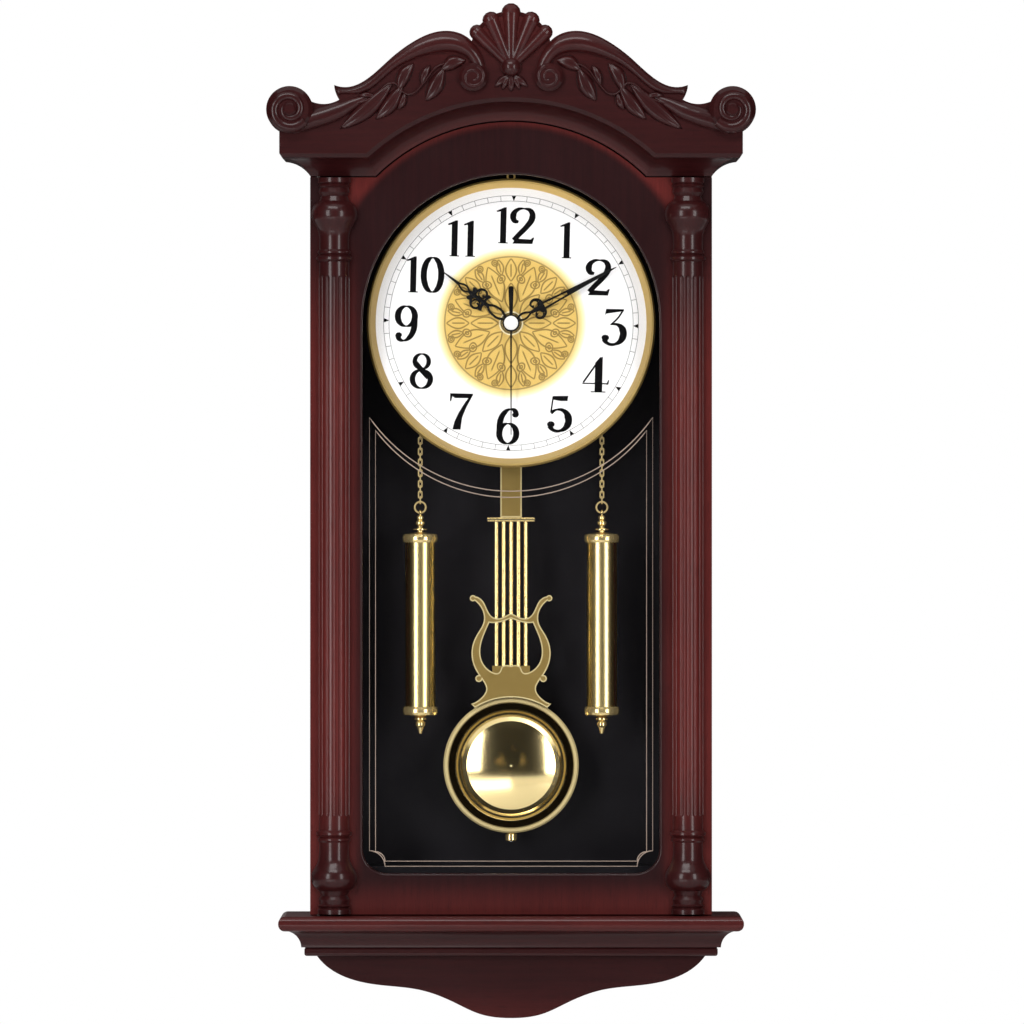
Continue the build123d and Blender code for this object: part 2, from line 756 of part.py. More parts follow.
third_place = axis_place(third_distance, third_direction)
motion_place = axis_place(motion_distance, motion_direction)
step_place = axis_place(step_distance, step_direction)
rotor_place = axis_place(rotor_distance, rotor_direction, step_place)
pair_module = {"third": 2 * third_distance / (tooth_count["third"] + tooth_count["second_pinion"]),
               "centre": 2 * third_distance / (tooth_count["centre"] + tooth_count["third_pinion"]),
               "motion": 2 * motion_distance / (tooth_count["motion"] + tooth_count["cannon"]),
               "hour": 2 * motion_distance / (tooth_count["hour"] + tooth_count["motion_pinion"]),
               "second": 2 * step_distance / (tooth_count["second"] + tooth_count["step_pinion"]),
               "step": 2 * rotor_distance / (tooth_count["step"] + tooth_count["rotor_pinion"])}


def gear_drawing(teeth, module, pinion, phase):
    """Toothed outline; a pinion's leaves are slimmer and deeper than a wheel's teeth."""
    addendum, dedendum = (0.75, 1.35) if pinion else (0.95, 1.1)
    shares = (0.5, 0.55, 0.3) if pinion else (1.0, 0.72, 0.3)
    radius = teeth * module / 2
    heights = (radius - dedendum * module, radius, radius + addendum * module)
    half = 90.0 / teeth
    points = []
    for tooth in range(teeth):
        middle = phase + 360.0 * tooth / teeth
        for height, share in list(zip(heights, [-s for s in shares])) + list(zip(heights, shares))[::-1]:
            turn = radians(middle + half * share)
            points.append((height * cos(turn), height * sin(turn)))
    return make_face(Polyline(*points, close=True))


def meshed_phase(direction, teeth_a, phase_a, teeth_b):
    """Tooth angle of gear b, so that a gap of b faces a tooth of a along the line of centres."""
    turns = (direction - phase_a) * teeth_a / 360.0
    return direction + 180.0 - 360.0 / teeth_b * (0.5 - turns)


def layer(index):
    """Front and back depths of one gear layer, counted from the front wall."""
    front = inside_front - first_layer - index * layer_pitch
    return front - gear_thickness, front


def gear(name, module_of, index, place, phase, pinion=False, reach=0.0):
    near, far = layer(index)
    drawing = gear_drawing(tooth_count[name], pair_module[module_of], pinion, phase)
    return front_prism(Pos(place[0], dial_z + place[1]) * drawing, near - reach, far)


def arbor(place, radius=None):
    """An arbor between the plates, with a thinner pivot at each end."""
    x, z = place[0], dial_z + place[1]
    body = facing_rod(radius or arbor_radius, inside_back + 0.2, inside_front - 0.2, x, z)
    return body + facing_rod(pivot_radius, inside_back - pivot_length, inside_front + pivot_length, x, z)


hour_hand_depth = dial_face_depth + hour_hand_standoff
minute_hand_depth = hour_hand_depth + hand_spacing
second_hand_depth = minute_hand_depth + hand_spacing


def build_train():
    centre = (0.0, 0.0)
    third_phase = meshed_phase(third_direction, tooth_count["centre"], 0, tooth_count["third_pinion"])
    second_phase = meshed_phase(third_direction + 180, tooth_count["third"], 0, tooth_count["second_pinion"])
    step_phase = meshed_phase(step_direction, tooth_count["second"], 0, tooth_count["step_pinion"])
    rotor_phase = meshed_phase(rotor_direction, tooth_count["step"], 0, tooth_count["rotor_pinion"])
    motion_phase = meshed_phase(motion_direction, tooth_count["cannon"], 0, tooth_count["motion"])
    hour_phase = meshed_phase(motion_direction + 180, tooth_count["motion_pinion"], 0, tooth_count["hour"])
    hour_back = layer(0)[0]
    centre_back = layer(2)[0]
    hour = gear("hour", "hour", 0, centre, hour_phase)
    hour = hour + facing_rod(hour_pipe_radius, hour_back, hour_hand_depth + hand_thickness, 0, dial_z)
    hour = hour - facing_rod(hour_pipe_bore, hour_back - 1, hour_hand_depth + 1, 0, dial_z)
    minute = gear("centre", "centre", 2, centre, 0) + gear("cannon", "motion", 1, centre, 0, True)
    minute = minute + facing_rod(minute_pipe_radius, centre_back, minute_hand_depth + hand_thickness,
                                 0, dial_z)
    minute = minute - facing_rod(minute_pipe_bore, centre_back - 1, minute_hand_depth + 1, 0, dial_z)
    second = gear("second", "second", 4, centre, 0)
    second = second + gear("second_pinion", "third", 3, centre, second_phase, True)
    second = second + facing_rod(second_arbor_radius, inside_back - pivot_length,
                                 second_hand_depth + hand_thickness, 0, dial_z)
    third = gear("third", "third", 3, third_place, 0)
    third = third + gear("third_pinion", "centre", 2, third_place, third_phase, True)
    step = gear("step", "step", 5, step_place, 0)
    step = step + gear("step_pinion", "second", 4, step_place, step_phase, True)
    rotor_pinion = gear("rotor_pinion", "step", 5, rotor_place, rotor_phase, True)
    rotor_middle = (layer(3)[0] + layer(3)[1]) / 2
    magnet = facing_rod(rotor_radius, rotor_middle - rotor_height / 2, rotor_middle + rotor_height / 2,
                        rotor_place[0], dial_z + rotor_place[1])
    motion = gear("motion", "motion", 1, motion_place, motion_phase)
    motion = motion + gear("motion_pinion", "hour", 0, motion_place, 0, True)
    x, z = motion_place[0], dial_z + motion_place[1]
    stem = facing_rod(knob_stem_radius, movement_back - 2.0, inside_front - 0.2, x, z)
    stem = stem + facing_rod(pivot_radius, inside_front - 0.2, inside_front + pivot_length, x, z)
    knob = facing_rod(knob_radius, movement_back - 0.6 - knob_height, movement_back - 0.6, x, z)
    knob = chamfer(knob.edges().sort_by(Axis.Y)[-1], 0.8)
    grip = Pos(x, z) * PolarLocations(knob_radius, knob_grips) * Circle(knob_grip_radius)
    knob = knob - front_prism(Sketch() + grip, movement_back - 2 * knob_height, movement_back)
    knob = knob - facing_rod(knob_stem_radius, movement_back - 2.0, movement_back, x, z)
    return {"hour_wheel": hour,
            "minute_wheel": minute,
            "second_wheel": second,
            "third_wheel": third + arbor(third_place),
            "step_wheel": step + arbor(step_place),
            "rotor": rotor_pinion + magnet + arbor(rotor_place),
            "motion_wheel": motion + stem,
            "setting_knob": knob}


def housing_outline(inset):
    """Front view of the housing with the pendulum drive box below it."""
    middle = dial_z + (movement_top + movement_bottom) / 2
    body = RectangleRounded(2 * (movement_half_width - inset), movement_top - movement_bottom - 2 * inset,
                            movement_corner - inset / 2)
    low = movement_bottom - drive_box_drop
    drive = Pos(0, dial_z + (low + movement_bottom) / 2 + movement_corner) * RectangleRounded(
        2 * (drive_box_half_width - inset), movement_bottom - low + 2 * movement_corner - 2 * inset,
        movement_corner - inset / 2)
    return Pos(0, middle) * body + drive


def build_movement():
    skin = front_prism(housing_outline(0), inside_back, dial_board_back)
    case_shell = skin - front_prism(housing_outline(movement_wall), inside_back, inside_front)
    cover = front_prism(housing_outline(0), movement_back, inside_back)
    hole = pivot_radius + pivot_clearance
    for place in (third_place, step_place, rotor_place, motion_place):
        case_shell = case_shell - facing_rod(hole, inside_front, dial_board_back, place[0], dial_z + place[1])
    for place in (third_place, step_place, rotor_place, (0.0, 0.0)):
        cover = cover - facing_rod(hole, movement_back, inside_back, place[0], dial_z + place[1])
    cover = cover - facing_rod(knob_stem_radius + pivot_clearance, movement_back, inside_back,
                               motion_place[0], dial_z + motion_place[1])
    hatch = box_between(-battery_length / 2 - 1.2, battery_length / 2 + 1.2, movement_back, inside_back,
                        battery_z - battery_radius - 0.4, battery_z + battery_radius + 0.4)
    cover = cover - hatch
    pivot_z = dial_z - pendulum_pivot_drop
    pin_end = movement_back - arm_gap - arm_thickness - arm_gap
    pin = facing_rod(arm_pin_radius, pin_end, movement_back, 0, pivot_z)
    head = facing_rod(arm_pin_radius + 1.0, pin_end - 1.0, pin_end, 0, pivot_z)
    case_shell = case_shell - facing_rod(bush_radius, inside_front, dial_board_back, 0, dial_z)
    for x, z in stator_feet():
        case_shell = case_shell + facing_rod(stator_post_radius, motor_depth + stator_thickness / 2,
                                             inside_front, x, z)
    for side in (-1, 1):
        rib_x = side * battery_length / 3
        rib = box_between(rib_x - movement_wall / 2, rib_x + movement_wall / 2, battery_depth, inside_front,
                          battery_z - battery_radius - 0.5, battery_z + battery_radius)
        case_shell = case_shell + (rib - battery_cell())
    bush_front = dial_face_depth + bush_washer_height + bush_nut_height
    bush = facing_pipe(bush_radius, bush_bore, inside_front, bush_front - 1.0, 0, dial_z)
    washer = facing_pipe(bush_washer_radius, bush_radius + 0.1, dial_face_depth,
                         dial_face_depth + bush_washer_height, 0, dial_z)
    nut_drawing = RegularPolygon(bush_nut_flats / 2, 6, major_radius=False) - Circle(bush_radius)
    nut = front_prism(Pos(0, dial_z) * nut_drawing, dial_face_depth + bush_washer_height, bush_front - 1.0)
    return {"movement_case": case_shell,
            "movement_cover": cover + pin + head,
            "centre_bush": bush,
            "bush_nut": Compound(children=[washer.solid(), nut.solid()])}


battery_z = dial_z - battery_drop
battery_depth = inside_front - battery_radius
motor_depth = (layer(3)[0] + layer(3)[1]) / 2


def battery_cell():
    return Pos(0, -battery_depth, battery_z) * Rot(0, 90, 0) * Cylinder(battery_radius, battery_length - 2.4)


def stator_feet():
    """Where the stator stands on its posts, near its two lower corners."""
    low = dial_z + rotor_place[1] - rotor_radius - stator_rim
    reach = coil_length / 2 + stator_arm / 2
    return [(stator_x + side * reach, low + stator_arm / 2) for side in (-1, 1)]


def build_electrics():
    nub_end = battery_length / 2
    nub = Pos(nub_end - 0.6, -battery_depth, battery_z) * Rot(0, 90, 0) * Cylinder(2.7, 1.2)
    contacts = []
    for side in (-1, 1):
        x0, x1 = sorted((side * nub_end, side * (nub_end + 0.4)))
        contacts.append(box_between(x0, x1, inside_back + 1, inside_front, battery_z - 4.5, battery_z + 4.5))
    spring = Pos(-nub_end + 0.6, -battery_depth, battery_z) * Rot(0, 90, 0) * Cylinder(3.2, 1.2)
    contacts[0] = (contacts[0] + spring).solid()
    coil_z = dial_z + coil_rise
    rotor_x, rotor_z = rotor_place[0], dial_z + rotor_place[1]
    lying = Pos(stator_x, -motor_depth, coil_z) * Rot(0, 90, 0)
    winding = lying * (Cylinder(coil_radius, coil_length) - Cylinder(coil_core_radius, coil_length))
    core_length = coil_length + 2 * stator_arm
    core = lying * Cylinder(coil_core_radius, core_length)
    low = rotor_z - rotor_radius - stator_rim
    high = rotor_z + rotor_radius + stator_rim
    sheet = Pos(stator_x, (coil_z + low) / 2) * Rectangle(core_length, coil_z - low)
    between = Pos(stator_x, (coil_z + high) / 2) * Rectangle(coil_length, coil_z - high)
    stator = sheet - between - Pos(rotor_x, rotor_z) * Circle(rotor_radius + 0.4)
    stator = front_prism(stator, motor_depth - stator_thickness / 2, motor_depth + stator_thickness / 2)
    stator = stator - core
    circuit_front = inside_back + board_thickness
    circuit = box_between(-movement_half_width + movement_wall, -4.5, inside_back, circuit_front,
                          dial_z - 12.0, dial_z + 3.0)
    crystal = box_between(-16.0 - crystal_length / 2, -16.0 + crystal_length / 2, circuit_front,
                          circuit_front + crystal_width, dial_z - 9.0, dial_z - 9.0 + crystal_width)
    crystal = fillet(crystal.edges().filter_by(Axis.X).sort_by(Axis.Y)[:2], 0.4 * crystal_width)
    drive_z = dial_z + movement_bottom - drive_box_drop / 2 - 1
    drive = facing_pipe(6.0, 2.0, inside_back, inside_back + 6.0, 0, drive_z)
    return {"battery": battery_cell() + nub,
            "battery_contacts": Compound(children=contacts),
            "coils": Compound(children=[winding.solid(), drive.solid()]),
            "stator": Compound(children=[core.solid(), stator.solid()]),
            "circuit_board": Compound(children=[circuit.solid(), crystal.solid()])}


# Hands


def petal(low, high, width, rim):
    """A pointed loop along the hand between two distances from the centre."""
    middle = (low + high) / 2
    loops = []
    for inset in (0, rim):
        foot = (0, low + 2.2 * inset)
        tip = (0, high - 2.2 * inset)
        half = width / 2 - inset
        loops.append(closed(ThreePointArc(foot, (half, middle), tip),
                            ThreePointArc(tip, (-half, middle), foot)))
    return loops[0] - loops[1]


def curl(x, z, radius, rim):
    """A small open ring beside the hand."""
    return Pos(x, z) * (Circle(radius) - Circle(radius - rim))


def taper(low, high, wide, narrow):
    return make_face(Polyline((-wide / 2, low), (wide / 2, low), (narrow / 2, high), (-narrow / 2, high),
                              close=True))


def hour_hand_drawing():
    rim = 1.0
    drawing = Circle(hand_hub_radius - 1.2) + petal(4.6, 22.5, 7.4, rim)
    drawing = drawing + Pos(0, 25.0) * Rectangle(11.0, 1.5) + taper(21.0, 40.0, 2.6, 2.2)
    for side in (-1, 1):
        drawing = drawing + curl(side * 4.7, 29.6, 3.7, rim) + Pos(side * 5.6, 25.0) * Circle(1.25)
        drawing = drawing + Pos(side * 3.6, 36.4) * Circle(1.7) + Pos(side * 1.9, 36.4) * Rectangle(3.4, 1.6)
    drawing = drawing + petal(37.6, 49.5, 5.2, 0.9) + taper(48.0, hour_hand_length, 1.7, 0.5)
    return drawing - Circle(hour_pipe_radius)


def minute_hand_drawing():
    rim = 1.0
    drawing = Circle(hand_hub_radius - 2.4) + petal(3.6, 17.5, 5.4, rim) + taper(15.5, 26.5, 1.8, 3.4)
    for side in (-1, 1):
        drawing = drawing + curl(side * 4.0, 22.0, 3.3, rim) + Pos(side * 2.4, 25.4) * Circle(1.9)
    blade = taper(25.0, minute_hand_length - 6.0, 5.8, 2.0)
    blade = blade + taper(minute_hand_length - 7.0, minute_hand_length, 2.1, 0.5)
    slit = taper(28.0, 47.0, 2.7, 1.4)
    return drawing + (blade - slit) - Circle(minute_pipe_radius)


def second_hand_drawing():
    drawing = Circle(cap_radius - 0.6) + taper(0, second_hand_length, 1.5, 0.6)
    end = second_tail_length - second_tail_round
    tail = taper(0, end, 2.0, 2 * second_tail_round) + Pos(0, end) * Circle(second_tail_round)
    return drawing + Rot(0, 0, 180) * tail - Circle(second_arbor_radius)


def placed_hand(drawing, angle, depth):
    return front_prism(Pos(0, dial_z) * Rot(0, 0, -angle) * drawing, depth, depth + hand_thickness)


def build_hands():
    cap_back = second_hand_depth + hand_thickness
    cap = turned_outline([(cap_radius, cap_back), (cap_radius, cap_back + 0.4 * cap_height),
                          (0.72 * cap_radius, cap_back + 0.85 * cap_height),
                          (0.3 * cap_radius, cap_back + cap_height)])
    return {"hour_hand": placed_hand(hour_hand_drawing(), hour_hand_angle, hour_hand_depth),
            "minute_hand": placed_hand(minute_hand_drawing(), minute_hand_angle, minute_hand_depth),
            "second_hand": placed_hand(second_hand_drawing(), second_hand_angle, second_hand_depth),
            "hand_cap": turned_facing(cap, 0, dial_z)}


# Pendulum

arm_front = movement_back - arm_gap
arm_back = arm_front - arm_thickness
strip_back = arm_back - strip_thickness
rod_depth = arm_back - strip_thickness / 2
lyre_back = rod_depth + rod_radius + 0.1
lyre_front = lyre_back + lyre_thickness
bob_front = lyre_front - 0.3
bob_back = bob_front - bob_depth
bob_rod_depth = bob_back - hanger_rod_radius - 0.3


def flipped(points):
    """Front-view points of the other side."""
    return [(-x, z) for x, z in points]


def lyre_drawing():
    """The lyre's plate: horns, wavy bar, bowed arms and a foot that rides the bob's rim."""
    seat = bob_radius + bob_seat_gap
    foot_x = 27.0
    foot_z = bob_z - lyre_tip_z + sqrt(seat ** 2 - foot_x ** 2)
    top_z = bob_z - lyre_tip_z + seat
    side = [(foot_x, foot_z), (29.8, -77.2), (22.0, -72.6), (18.5, -66.5), (22.8, -57.5), (28.0, -48.0),
            (29.4, -38.0), (25.6, -26.0), (20.4, -16.0), (20.8, -9.0), (25.0, -2.2), (29.4, 1.2)]
    horn = [(29.4, 1.2), (27.6, 2.6), (22.4, 0.8), (17.5, -7.6), (12.5, -13.2), (8.0, -13.4), (3.4, -11.4),
            (0, -9.8)]
    outline = closed(ThreePointArc((-foot_x, foot_z), (0, top_z), (foot_x, foot_z)),
                     Line(side[0], side[1]), Spline(*side[1:]), Spline(*horn),
                     Spline(*reversed(flipped(horn))), Spline(*reversed(flipped(side[1:]))),
                     Line(flipped(side[:2])[1], flipped(side[:2])[0]))
    bar = [(0, -13.6), (4.2, -15.2), (9.0, -16.6), (16.2, -16.8)]
    arm = [(16.2, -16.8), (20.2, -26.0), (22.9, -37.0), (21.4, -46.0), (16.0, -52.4), (11.4, -54.4)]
    base = [(11.4, -54.4), (8.4, -53.0), (6.8, -49.6), (3.4, -48.4), (0, -49.0)]
    inside = closed(Spline(*bar), Spline(*arm), Spline(*base),
                    Spline(*reversed(flipped(base))), Spline(*reversed(flipped(arm))),
                    Spline(*reversed(flipped(bar))))
    balls = [Pos(x, z) * Circle(radius) for x, z, radius in ((24.0, -58.4, 2.6), (28.4, 1.4, 2.3))]
    return outline - inside + balls + [mirror(ball, Plane.YZ) for ball in balls]


def build_pendulum():
    pivot_z = dial_z - pendulum_pivot_drop
    eye = Circle(arm_pin_radius + 2.4)
    reach = Pos(0, -arm_length / 2) * Rectangle(arm_width, arm_length)
    arm_drawing = fillet(reach.vertices(), 1.5) + eye - Circle(arm_pin_radius + 0.06)
    arm = front_prism(Pos(0, pivot_z) * arm_drawing, arm_back, arm_front)
    arm_low = pivot_z - arm_length
    strip_top = pivot_z - arm_pin_radius - 6.0
    peg = facing_rod(1.4, strip_back - 1.0, arm_back, 0, arm_low + 5.0)
    strip = box_between(-strip_half_width, strip_half_width, strip_back, arm_back,
                        crossbar_z + crossbar_height / 2, strip_top)
    strip = strip - facing_rod(1.45, strip_back, arm_back, 0, arm_low + 5.0)
    bar_low = crossbar_z - crossbar_height / 2
    bar = box_between(-crossbar_width / 2, crossbar_width / 2,
                      rod_depth - crossbar_thickness / 2, rod_depth + crossbar_thickness / 2,
                      bar_low, crossbar_z + crossbar_height / 2)
    bar = fillet(bar.edges().filter_by(Axis.X), 1.0)
    rods = []
    for index in range(rod_count):
        x = (index - (rod_count - 1) / 2) * rod_pitch
        rods.append(Pos(x, -rod_depth, (lyre_base_top + bar_low) / 2) * Cylinder(
            rod_radius, bar_low - lyre_base_top))
    plate = front_prism(Pos(0, lyre_tip_z) * lyre_drawing(), lyre_back, lyre_front)
    block_low = bob_z + bob_radius + bob_seat_gap + 3.0
    block = box_between(-14.0, 14.0, rod_depth - 2.6, lyre_back, block_low, lyre_base_top)
    lug = box_between(-4.0, 4.0, bob_rod_depth - 2.8, rod_depth - 2.6, block_low + 4.0, lyre_base_top)
    rod_hole = Pos(0, -bob_rod_depth, block_low + 8.0) * Cylinder(hanger_rod_radius, 16.0)
    ring_in = bob_radius - bob_ring_width
    mid = bob_back
    front = bob_front
    profile = closed(Line((0, mid), (bob_radius - 1.2, mid)),
                     Line((bob_radius - 1.2, mid), (bob_radius, mid + 1.2)),
                     Line((bob_radius, mid + 1.2), (bob_radius, mid + 3.6)),
                     Line((bob_radius, mid + 3.6), (bob_radius - 1.2, mid + 5.2)),
                     Line((bob_radius - 1.2, mid + 5.2), (ring_in + 0.8, mid + 5.2)),
                     Line((ring_in + 0.8, mid + 5.2), (ring_in, mid + bob_web)),
                     Line((ring_in, mid + bob_web), (bob_dish_radius, mid + bob_web)),
                     Line((bob_dish_radius, mid + bob_web), (bob_dish_radius - 0.4, mid + 4.4)),
                     Line((bob_dish_radius - 0.4, mid + 4.4), (bob_dish_radius - 1.8, mid + 6.0)),
                     Line((bob_dish_radius - 1.8, mid + 6.0), (bob_dish_radius - 3.4, mid + 6.0)),
                     Line((bob_dish_radius - 3.4, mid + 6.0), (bob_dish_radius - 5.0, mid + 4.4)),
                     Line((bob_dish_radius - 5.0, mid + 4.4), (bob_dome_radius, mid + 3.8)),
                     dome_edge(bob_dome_radius, mid + 3.8, front),
                     Line((0, front), (0, mid)))
    bob = turned_facing(profile, 0, bob_z)
    rod_top = block_low + 16.0
    rod = Pos(0, -bob_rod_depth, (rod_top + hanger_rod_bottom) / 2) * Cylinder(
        hanger_rod_radius, rod_top - hanger_rod_bottom)
    nut_top = bob_z - bob_radius - 0.2
    nut_low = nut_top - nut_height
    nut_profile = make_face(Polyline(
        (hanger_rod_radius, nut_top), (nut_radius - nut_bevel, nut_top), (nut_radius, nut_top - nut_bevel),
        (nut_radius, nut_low + nut_bevel), (nut_radius - nut_bevel, nut_low), (hanger_rod_radius, nut_low),
        close=True))
    return {"suspension_arm": arm + peg,
            "pendulum_strip": strip,
            "lyre_grid": Compound(children=[bar.solid()] + [rod_solid.solid() for rod_solid in rods]),
            "lyre_plate": plate + (block + lug - rod_hole),
            "pendulum_bob": bob,
            "bob_rod": rod,
            "rating_nut": turned_upright(nut_profile, 0, bob_rod_depth)}


# Hanging cylinders


def link_outline(half_width, half_length, corner):
    """A long octagon, upright."""
    half = [(half_width, corner - half_length), (half_width, half_length - corner),
            (half_width - corner, half_length), (corner - half_width, half_length)]
    return make_face(Polyline(*half, *[(-x, -z) for x, z in half], close=True))


def chain_link(z, turned):
    """One long link, bevelled at its corners; every second one is turned a quarter."""
    thick = 2 * link_wire
    outer = link_outline(link_half_width, link_half_length, link_corner)
    inner = link_outline(link_half_width - thick, link_half_length - thick, link_corner / 3)
    link = front_prism(outer - inner, -link_wire, link_wire)
    return Pos(0, 0, z) * Rot(0, 0, 90 if turned else 0) * link


def wire_ring(radius, wire):
    """A ring of eight-sided wire that lies flat."""
    return revolve(Plane.XZ * Pos(radius, 0) * RegularPolygon(wire, 8, rotation=22.5), Axis.Z)


def bead_points(radius, neck, low, high):
    """A turned bead as (radius, height) points, bevelled above and below."""
    bevel = 0.3 * (high - low)
    return [(neck, low), (radius, low + bevel), (radius, high - bevel), (neck, high)]


def turned_outline(points):
    """Close a turned (radius, height) profile along its axis."""
    ends = [(0, points[0][1]), *points, (0, points[-1][1])]
    kept = [point for point, after in zip(ends, ends[1:] + ends[:1]) if point != after]
    return make_face(Polyline(*kept, close=True))


def build_weights():
    cap_low = weight_top - weight_cap_height / 2
    cap_top = weight_top + weight_cap_height / 2
    tip = cap_top + weight_top_finial
    skirt = weight_radius + 0.05
    rim = weight_cap_radius - weight_cap_bevel
    tube = turned_outline([(weight_radius, weight_bottom), (weight_radius, weight_top)])
    top_cap = turned_outline([(skirt, weight_top), (skirt, cap_low),
                              *bead_points(weight_cap_radius, rim, cap_low, cap_top),
                              (2.4, cap_top + 1.6), *bead_points(5.3, 2.2, cap_top + 2.8, cap_top + 4.6),
                              *bead_points(3.4, 1.8, cap_top + 6.2, cap_top + 10.6),
                              *bead_points(2.5, 1.8, cap_top + 10.6, tip)])
    end_high = weight_bottom + weight_cap_height / 2
    end_low = weight_bottom - weight_cap_height / 2
    drop = end_low - weight_bottom_finial
    end_cap = turned_outline([(skirt, weight_bottom), (skirt, end_high),
                              *bead_points(weight_cap_radius, rim, end_high, end_low),
                              *bead_points(4.6, 2.4, end_low - 1.8, end_low - 4.4),
                              *bead_points(3.6, 2.4, end_low - 4.4, end_low - 9.6), (1.0, drop)])
    eye_z = tip + weight_eye_radius - weight_eye_wire
    eye = Pos(0, 0, eye_z) * Rot(0, 90, 0) * wire_ring(weight_eye_radius, weight_eye_wire)
    eye_play = weight_eye_radius - weight_eye_wire - weight_ring_wire
    ring_z = eye_z + eye_play - link_play + weight_ring_radius
    ring = Pos(0, 0, ring_z) * Rot(90, 0, 0) * wire_ring(weight_ring_radius, weight_ring_wire)
    hook_z = dial_z - chain_hook_drop
    ring_seat = ring_z + weight_ring_radius - weight_ring_wire - link_play
    links = build_chain(ring_seat, hook_z + chain_hook_wire + link_play)
    nodes = {}
    for name, side in (("left", -1), ("right", 1)):
        place = Pos(side * weight_x, -weight_depth, 0)
        nodes["weight_tube_" + name] = place * revolve(Plane.XZ * tube, Axis.Z)
        top = place * (revolve(Plane.XZ * top_cap, Axis.Z) + eye)
        end = place * revolve(Plane.XZ * end_cap, Axis.Z)
        nodes["weight_caps_" + name] = Compound(children=[top.solid(), end.solid()])
        nodes["weight_chain_" + name] = Compound(children=[(place * link).solid() for link in [ring] + links])
    return nodes


def build_chain(ring_seat, hook_seat):
    """An even number of links from the hook down to the ring, each turned a quarter to the last."""
    inside = link_half_length - 2 * link_wire
    top = hook_seat - inside
    low = ring_seat + inside
    longest = 2 * (inside - link_play / 2)
    count = 2 * round(((top - low) / longest + 1) / 2 + 0.49)
    step = (top - low) / (count - 1)
    return [chain_link(top - index * step, index % 2 == 1) for index in range(count)]


def main():
    builders = (build_case, build_hanger, build_crown, build_scrolls, build_shell, build_base, build_door,
                build_columns, build_dial, build_movement, build_train, build_electrics, build_hands,
                build_pendulum, build_weights)
    os.makedirs("parts", exist_ok=True)
    for builder in builders:
        for name, solid in builder().items():
            export_step(Pos(0, 0, -hanger_height) * solid, os.path.join("parts", name + ".step"))


if __name__ == "__main__":
    main()
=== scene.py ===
import bpy
import bmesh
import math
from mathutils import Matrix, Vector


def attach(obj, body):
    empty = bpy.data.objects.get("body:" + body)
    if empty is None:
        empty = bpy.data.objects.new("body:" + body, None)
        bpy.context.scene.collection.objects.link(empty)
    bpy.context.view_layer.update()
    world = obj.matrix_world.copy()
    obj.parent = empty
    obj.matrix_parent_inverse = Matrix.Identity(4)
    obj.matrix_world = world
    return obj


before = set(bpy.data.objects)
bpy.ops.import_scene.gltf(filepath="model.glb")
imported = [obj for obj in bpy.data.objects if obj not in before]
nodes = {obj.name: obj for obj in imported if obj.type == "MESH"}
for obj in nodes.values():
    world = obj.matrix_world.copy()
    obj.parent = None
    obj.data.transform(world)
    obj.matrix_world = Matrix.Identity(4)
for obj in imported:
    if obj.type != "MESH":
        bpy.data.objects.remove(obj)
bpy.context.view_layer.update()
scene = bpy.context.scene

# Sizes in millimetres: heights from the lowest edge, depths out from the wall, and turns clockwise
PER_METRE = 1000.0
HANGER = 600.0
DIAL_Z = 514.8
DIAL_FACE = 60.0
DIAL_TILT = math.radians(1.3)
HOUR_TURN = math.radians(307.0)
HOUR_FACE = 63.2
MINUTE_TURN = math.radians(62.0)
MINUTE_FACE = 65.4
ARCH_Z = 522.0
ARCH_LIP = 143.0
STILE_INNER = 108.0
STILE_OUTER = 124.0
FOOT_RAIL_TOP = 106.0
CROWN_FACE = 111.4
VOLUTE = Vector((163.4, 671.5))
VOLUTE_FACE = 118.4
INNER_SCROLL = Vector((28.0, 695.5))
INNER_SCROLL_FACE = 116.6
BOB_Z = 185.9
LYRE_FACE = 36.9
STRIP_FACE = 34.4
GLASS_BACK = 78.0


def place(x, depth, z):
    """Millimetres across, out from the wall and up, to a point of the scene."""
    return Vector((x, -depth, z - HANGER)) / PER_METRE


# Shader arithmetic: a socket with operators, and one method for any other node
class Value:
    def __init__(self, tree, socket):
        self.tree = tree
        self.socket = socket

    def put(self, target, value):
        if isinstance(value, Value):
            self.tree.links.new(value.socket, target)
        else:
            target.default_value = value

    def node(self, kind, output, settings, *inputs):
        node = self.tree.nodes.new(kind)
        for key, value in settings.items():
            setattr(node, key, value)
        for target, value in inputs:
            self.put(node.inputs[target], value)
        return Value(self.tree, node.outputs[output])

    def math(self, operation, *values):
        return self.node("ShaderNodeMath", 0, {"operation": operation}, *enumerate(values))

    def __add__(self, other):
        return self.math("ADD", self, other)

    def __radd__(self, other):
        return self.math("ADD", other, self)

    def __sub__(self, other):
        return self.math("SUBTRACT", self, other)

    def __rsub__(self, other):
        return self.math("SUBTRACT", other, self)

    def __mul__(self, other):
        return self.math("MULTIPLY", self, other)

    def __rmul__(self, other):
        return self.math("MULTIPLY", other, self)

    def __pow__(self, other):
        return self.math("POWER", self, other)

    def __abs__(self):
        return self.math("ABSOLUTE", self)

    def larger(self, other):
        return self.math("MAXIMUM", self, other)

    def ramp(self, low, high):
        """A smooth step from 0 at low to 1 at high."""
        return self.node("ShaderNodeMapRange", 0, {"interpolation_type": "SMOOTHSTEP"},
                         (0, self), (1, low), (2, high))

    def mix(self, low, high):
        return self.node("ShaderNodeMix", 2, {"data_type": "RGBA"}, (0, self), (6, low), (7, high))


